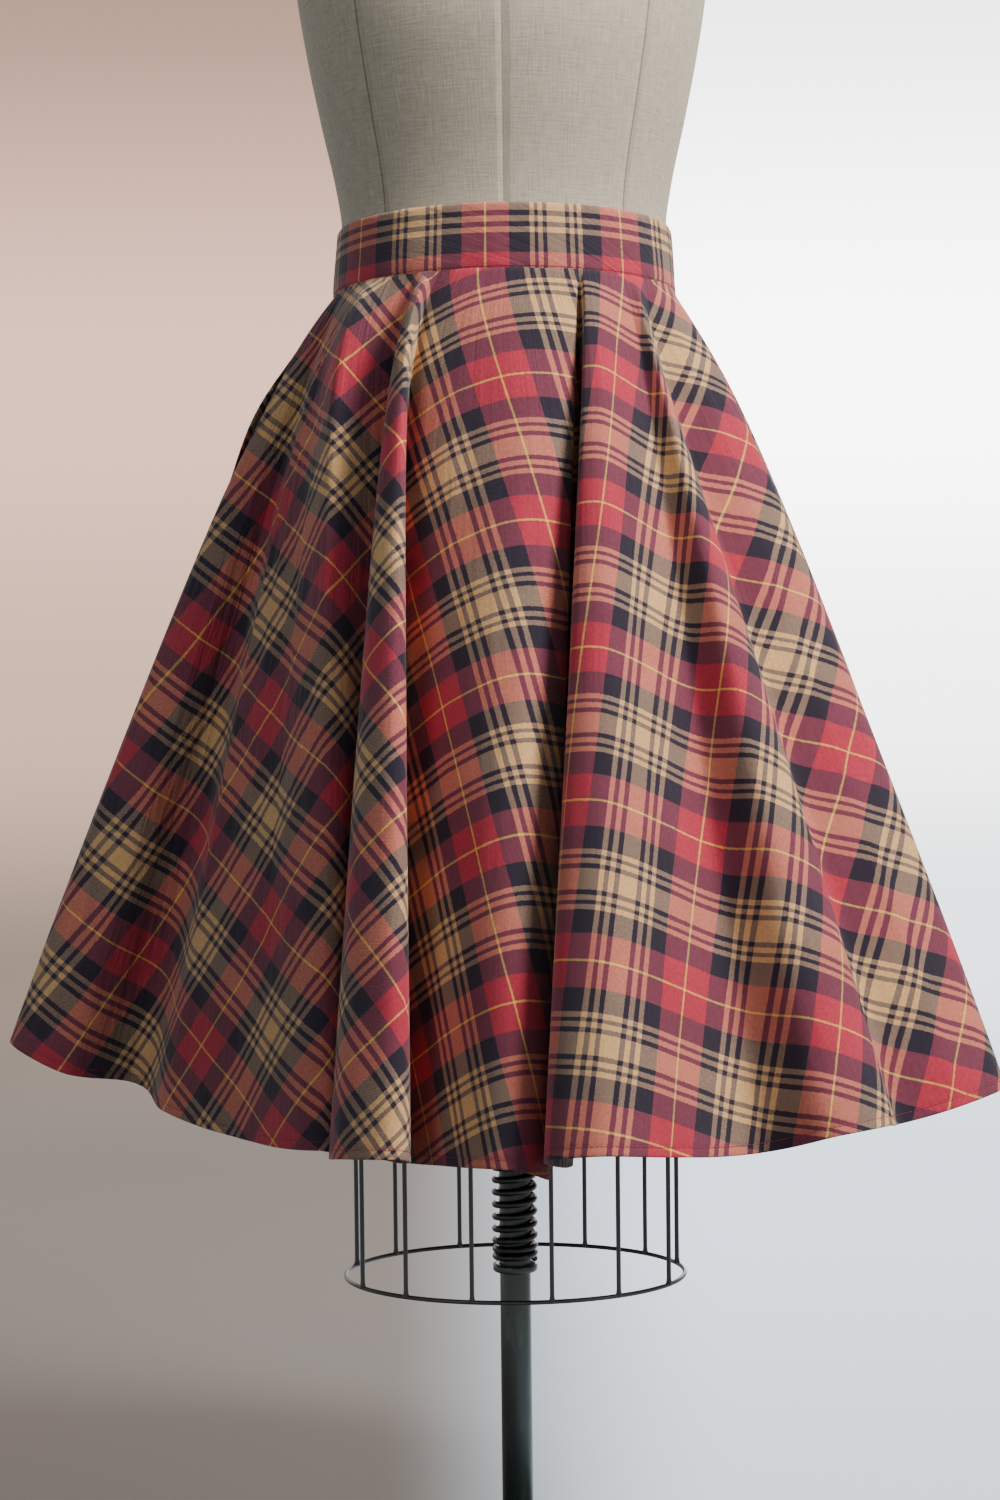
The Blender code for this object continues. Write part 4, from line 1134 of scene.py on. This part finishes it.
def makeEnamel(name):
    # Paint with an uneven gloss, mixed with the worn colour by fine noise where broad noise is high.
    colour, worn, roughness, metallic, wear, bumps = enamels[name]
    material, tree, shader = newMaterial(name, colour, roughness, metallic)
    where = place(tree)
    broad = noise(tree, stretched(tree, where, (1.0, 1.0, 0.35)), 38.0, 5.0, 0.65)
    fine = noise(tree, where, bumps, 4.0, 0.6)
    rubbed = ramp(tree, broad, [(0.60 - wear, (0.0,) * 3), (0.72 - wear / 2, (1.0,) * 3)])
    shown = mixed(tree, maths(tree, "MULTIPLY", rubbed, fine), (*colour, 1.0), (*worn, 1.0))
    gloss = maths(tree, "MULTIPLY_ADD", fine, 0.22, roughness - 0.11)
    wireUp(tree, shader, colour=shown, roughness=gloss, normal=bump(tree, fine, 0.00012, 0.8))
    return material


def makeWood():
    # Bands of a distorted distance across the grain, darkened by long pores.
    material, tree, shader = newMaterial("walnutCap", wood["dark"], 0.35, more=wood["finish"])
    where = place(tree)
    grain = tree.nodes.new("ShaderNodeTexWave")
    grain.wave_type = "BANDS"
    grain.bands_direction = "Y"
    tree.links.new(where, grain.inputs["Vector"])
    for socket, value in wood["grain"].items():
        grain.inputs[socket].default_value = value
    pores = noise(tree, stretched(tree, where, (60.0, 900.0, 400.0)), 1.0, 3.0)
    colour = ramp(tree, grain.outputs["Fac"], [(0.1, wood["dark"]), (0.9, wood["light"])])
    colour = mixed(tree, maths(tree, "MULTIPLY", pores, 0.5), colour, (*wood["pore"], 1.0))
    wireUp(tree, shader, colour=colour, normal=bump(tree, pores, 0.0001))
    return material


def makeSteel():
    # Bright tube with fine turned lines: roughness is 0.16 + 0.25 * noise pressed flat along z.
    material, tree, shader = newMaterial("drawnSteel", (0.45, 0.45, 0.44), 0.28, 1.0)
    lines = noise(tree, stretched(tree, place(tree), (3.0, 3.0, 1800.0)), 1.0, 3.0)
    gloss = maths(tree, "MULTIPLY_ADD", lines, 0.25, 0.16)
    wireUp(tree, shader, roughness=gloss, normal=bump(tree, lines, 0.00003))
    return material


# Room, lights and camera.

room = {
    "floorRadius": 6.6,
    "sweepRadius": 2.4,
    "wallTop": 7.0,
    "sides": 128,
    "paper": (0.20, 0.195, 0.19),
    # glow of the sweep by height as seen from the front, (height, red, green, blue), left and right,
    # worked back from tones measured on the photograph's background; the glow is painted light, the
    # right side brighter and the low parts darker, as the room's light falls on the backdrop
    "leftGlow": (
        (0.00, 0.12, 0.085, 0.065), (0.20, 0.17, 0.12, 0.09), (0.32, 0.36, 0.27, 0.21),
        (0.50, 1.10, 0.72, 0.53), (0.72, 1.65, 1.00, 0.78), (1.00, 0.66, 0.41, 0.30),
    ),
    "rightGlow": (
        (0.00, 1.10, 1.30, 1.45), (0.20, 1.50, 1.75, 2.05), (0.37, 2.50, 2.65, 2.80),
        (0.51, 4.60, 4.60, 4.60), (0.72, 8.00, 8.00, 8.00), (1.00, 3.80, 3.80, 3.80),
    ),
    # the eye that sees it, (y, z), the slopes between which heights run, and where left turns right
    "eye": (-1.9, 0.70),
    "heights": (-0.32, 0.38),
    "turnOver": (-0.06, 0.10),
    # elsewhere one even tone: the picture's tones fade out between these slopes and depths
    "evenGlow": (0.80, 0.80, 0.80),
    "fadeSide": (0.30, 0.48),
    "fadeRise": (0.40, 0.58),
    "fadeDepth": (-0.9, -0.1),
}
air = {"colour": (0.72, 0.87, 1.0), "strength": 0.10}
lights = {
    "key": {"place": (1.75, -1.15, 2.75), "size": 0.9, "power": 117.0, "colour": (1.0, 0.98, 0.96)},
    "side": {"place": (2.35, -1.95, 1.75), "size": 0.9, "power": 26.0, "colour": (1.0, 0.98, 0.96)},
    "fill": {"place": (-1.5, -2.5, 1.9), "size": 1.2, "power": 19.0, "colour": (0.97, 0.98, 1.0)},
    "rim": {"place": (1.8, 2.6, 2.4), "size": 1.6, "power": 40.0, "colour": (0.95, 0.98, 1.0)},
    "backFill": {"place": (-2.0, 2.6, 1.7), "size": 1.8, "power": 20.0, "colour": (1.0, 0.97, 0.94)},
}
cameraSet = {
    "place": (-0.008, -1.663, 0.697),
    "lens": 50.0,
    "sensor": 36.0,
    "roll": 0.63,
    "shiftUp": 0.0193,
}


def overSlope(tree, slope, low, high):
    # (slope - low) / (high - low)
    return maths(tree, "MULTIPLY_ADD", slope, 1 / (high - low), -low / (high - low))


def makePaper():
    # Glow by the slopes of each place as seen from the front, sideways and upwards over the
    # distance: left and right tones mixed across, then faded to one even tone outside the picture.
    # The glow is painted light: a brighter right side and darker low parts of the backdrop.
    material, tree, shader = newMaterial("paperSweep", room["paper"], 0.95, 0.0, 0.1)
    x, y, z = apart(tree, place(tree))
    away = maths(tree, "MAXIMUM", maths(tree, "SUBTRACT", y, room["eye"][0]), 0.5)
    side = maths(tree, "DIVIDE", x, away)
    rise = maths(tree, "DIVIDE", maths(tree, "SUBTRACT", z, room["eye"][1]), away)
    height = overSlope(tree, rise, *room["heights"])
    across = overSlope(tree, side, *room["turnOver"])
    toRight = ramp(tree, across, [(0.0, (0.0,) * 3), (1.0, (1.0,) * 3)], "EASE")
    left, right = [ramp(tree, height, [(stop[0], stop[1:]) for stop in room[name]], "EASE")
                   for name in ("leftGlow", "rightGlow")]
    beside = eased(tree, maths(tree, "ABSOLUTE", side), *room["fadeSide"])
    above = eased(tree, maths(tree, "ABSOLUTE", rise), *room["fadeRise"])
    behind = eased(tree, y, *room["fadeDepth"])
    outside = maths(tree, "MAXIMUM", beside, above)
    outside = maths(tree, "MAXIMUM", outside, maths(tree, "SUBTRACT", 1.0, behind))
    # painted light: the backdrop's bright and dark parts given as emission
    glow = mixed(tree, outside, mixed(tree, toRight, left, right), (*room["evenGlow"], 1.0))
    tree.links.new(glow, shader.inputs["Emission Color"])
    shader.inputs["Emission Strength"].default_value = 1.0
    return material


def makeRoom():
    # A bowl of revolution: flat floor, then radius + R sin(turn), R (1 - cos(turn)), then a wall.
    bend = np.linspace(0.0, math.pi / 2, 25)
    radius = room["floorRadius"] + room["sweepRadius"] * np.sin(bend)
    height = room["sweepRadius"] * (1 - np.cos(bend))
    ground = [(0.01, 0.0), (2.0, 0.0), (4.5, 0.0)]
    profile = np.concatenate([ground, np.stack([radius, height], -1), [(radius[-1], room["wallTop"])]])
    rings = turnedRings(profile, room["sides"])
    index = ringIndex(*rings.shape[:2])
    mesh = bpy.data.meshes.new("studioSweep")
    mesh.from_pydata(rings.reshape(-1, 3).tolist(), [], gridQuads(index).tolist() + [index[0, :-1].tolist()])
    mesh.flip_normals()
    mesh.shade_smooth()
    mesh.materials.append(makePaper())
    sweep = linked("studioSweep", mesh)
    sweep.visible_diffuse = False  # the glow is painted light on the backdrop, so it lights no cloth


def aimed(thing, target):
    # Turns the thing's own -z towards the target.
    thing.rotation_euler = (Vector(target) - thing.location).to_track_quat("-Z", "Y").to_euler()


def makeLights():
    # Round lamps aimed at the skirt, and a faint light from all round.
    for name, settings in lights.items():
        lamp = bpy.data.lights.new(name, "AREA")
        lamp.shape = "DISK"
        lamp.size = settings["size"]
        lamp.energy = settings["power"]
        lamp.color = settings["colour"]
        holder = linked(name, lamp)
        holder.location = settings["place"]
        holder.visible_camera = False
        aimed(holder, (0.0, 0.0, 0.8))
    world = bpy.data.worlds.new("studioAir")
    world.use_nodes = True
    background = world.node_tree.nodes["Background"]
    background.inputs["Color"].default_value = (*air["colour"], 1.0)
    background.inputs["Strength"].default_value = air["strength"]
    bpy.context.scene.world = world


def makeCamera():
    # Upright picture, level but for a small roll; the lens is shifted up, not tilted.
    lens = bpy.data.cameras.new("photoCamera")
    lens.lens = cameraSet["lens"]
    lens.sensor_fit = "VERTICAL"
    lens.sensor_height = cameraSet["sensor"]
    lens.shift_y = cameraSet["shiftUp"]
    lens.clip_end = 60.0
    camera = linked("photoCamera", lens)
    camera.location = cameraSet["place"]
    camera.rotation_euler = (math.radians(90), math.radians(cameraSet["roll"]), 0.0)
    bpy.context.scene.camera = camera


# Put it together.

print("room, lights and camera")
makeRoom()
makeLights()
makeCamera()

print("cloth, thread and finishes")
plaidCloth = makePlaid()
sewn = {name: makeThread(name, colour) for name, colour in threads.items()}
paint = {name: makeEnamel(name) for name in enamels}

print("skirt panels, hem and placket")
skirtPieces = makeSkirt(plaidCloth, sewn["burgundyThread"], sewn["placketThread"])
print("waistband and button")
bandPiece, bandStitches = makeBand(plaidCloth, sewn["bandThread"])
buttonDisc, buttonThread = makeButton(paint["buttonResin"], sewn["placketThread"])
print("dress form and cage")
torso = makeTorso(makeLinen())
neckCap = makeCap(makeWood())
hoop, uprights = makeCage(paint["cageEnamel"])
print("pole, spring and plate")
spring = makeSpring(paint["springOxide"])
pole, collar, lift, plate, formSocket = makeStand(paint["poleEnamel"], paint["plateEnamel"], makeSteel())

# Which CAD nodes and bodies the pieces belong to.

wireNodes = ["cage_wire_%02d" % number for number in range(1, 14)]
belongs = [
    (skirtPieces["front_panel"], "form", "skirt_front", ["skirt_front"]),
    (skirtPieces["back_panel"], "form", "skirt_back", ["skirt_back"]),
    (skirtPieces["front_hem_thread"], "form", "skirt_front", []),
    (skirtPieces["back_hem_thread"], "form", "skirt_back", []),
    (skirtPieces["placket_thread"], "form", "skirt_back", []),
    (bandPiece, "form", "waistband", ["waistband"]),
    (bandStitches, "form", "waistband", []),
    (buttonDisc, "form", "band_button", ["band_button"]),
    (buttonThread, "form", "band_button", []),
    (torso, "form", "form_torso", ["form_torso"]),
    (neckCap, "form", "neck_cap", ["neck_cap"]),
    (formSocket, "form", "form_hub", ["form_hub"]),
    (hoop, "form", "cage_ring", ["cage_ring"]),
    (uprights, "form", "cage_wire_01", wireNodes),
    (lift, "lift", "lift_tube", ["lift_tube"]),
    (pole, "stand", "pole_tube", ["pole_tube"]),
    (collar, "stand", "spring_collar", ["spring_collar"]),
    (spring, "stand", "coil_spring", ["coil_spring"]),
    (plate, "stand", "base_plate", ["base_plate"]),
]
for piece, body, slotName, nodes in belongs:
    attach(piece, body)
    if nodes:
        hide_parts(*nodes)
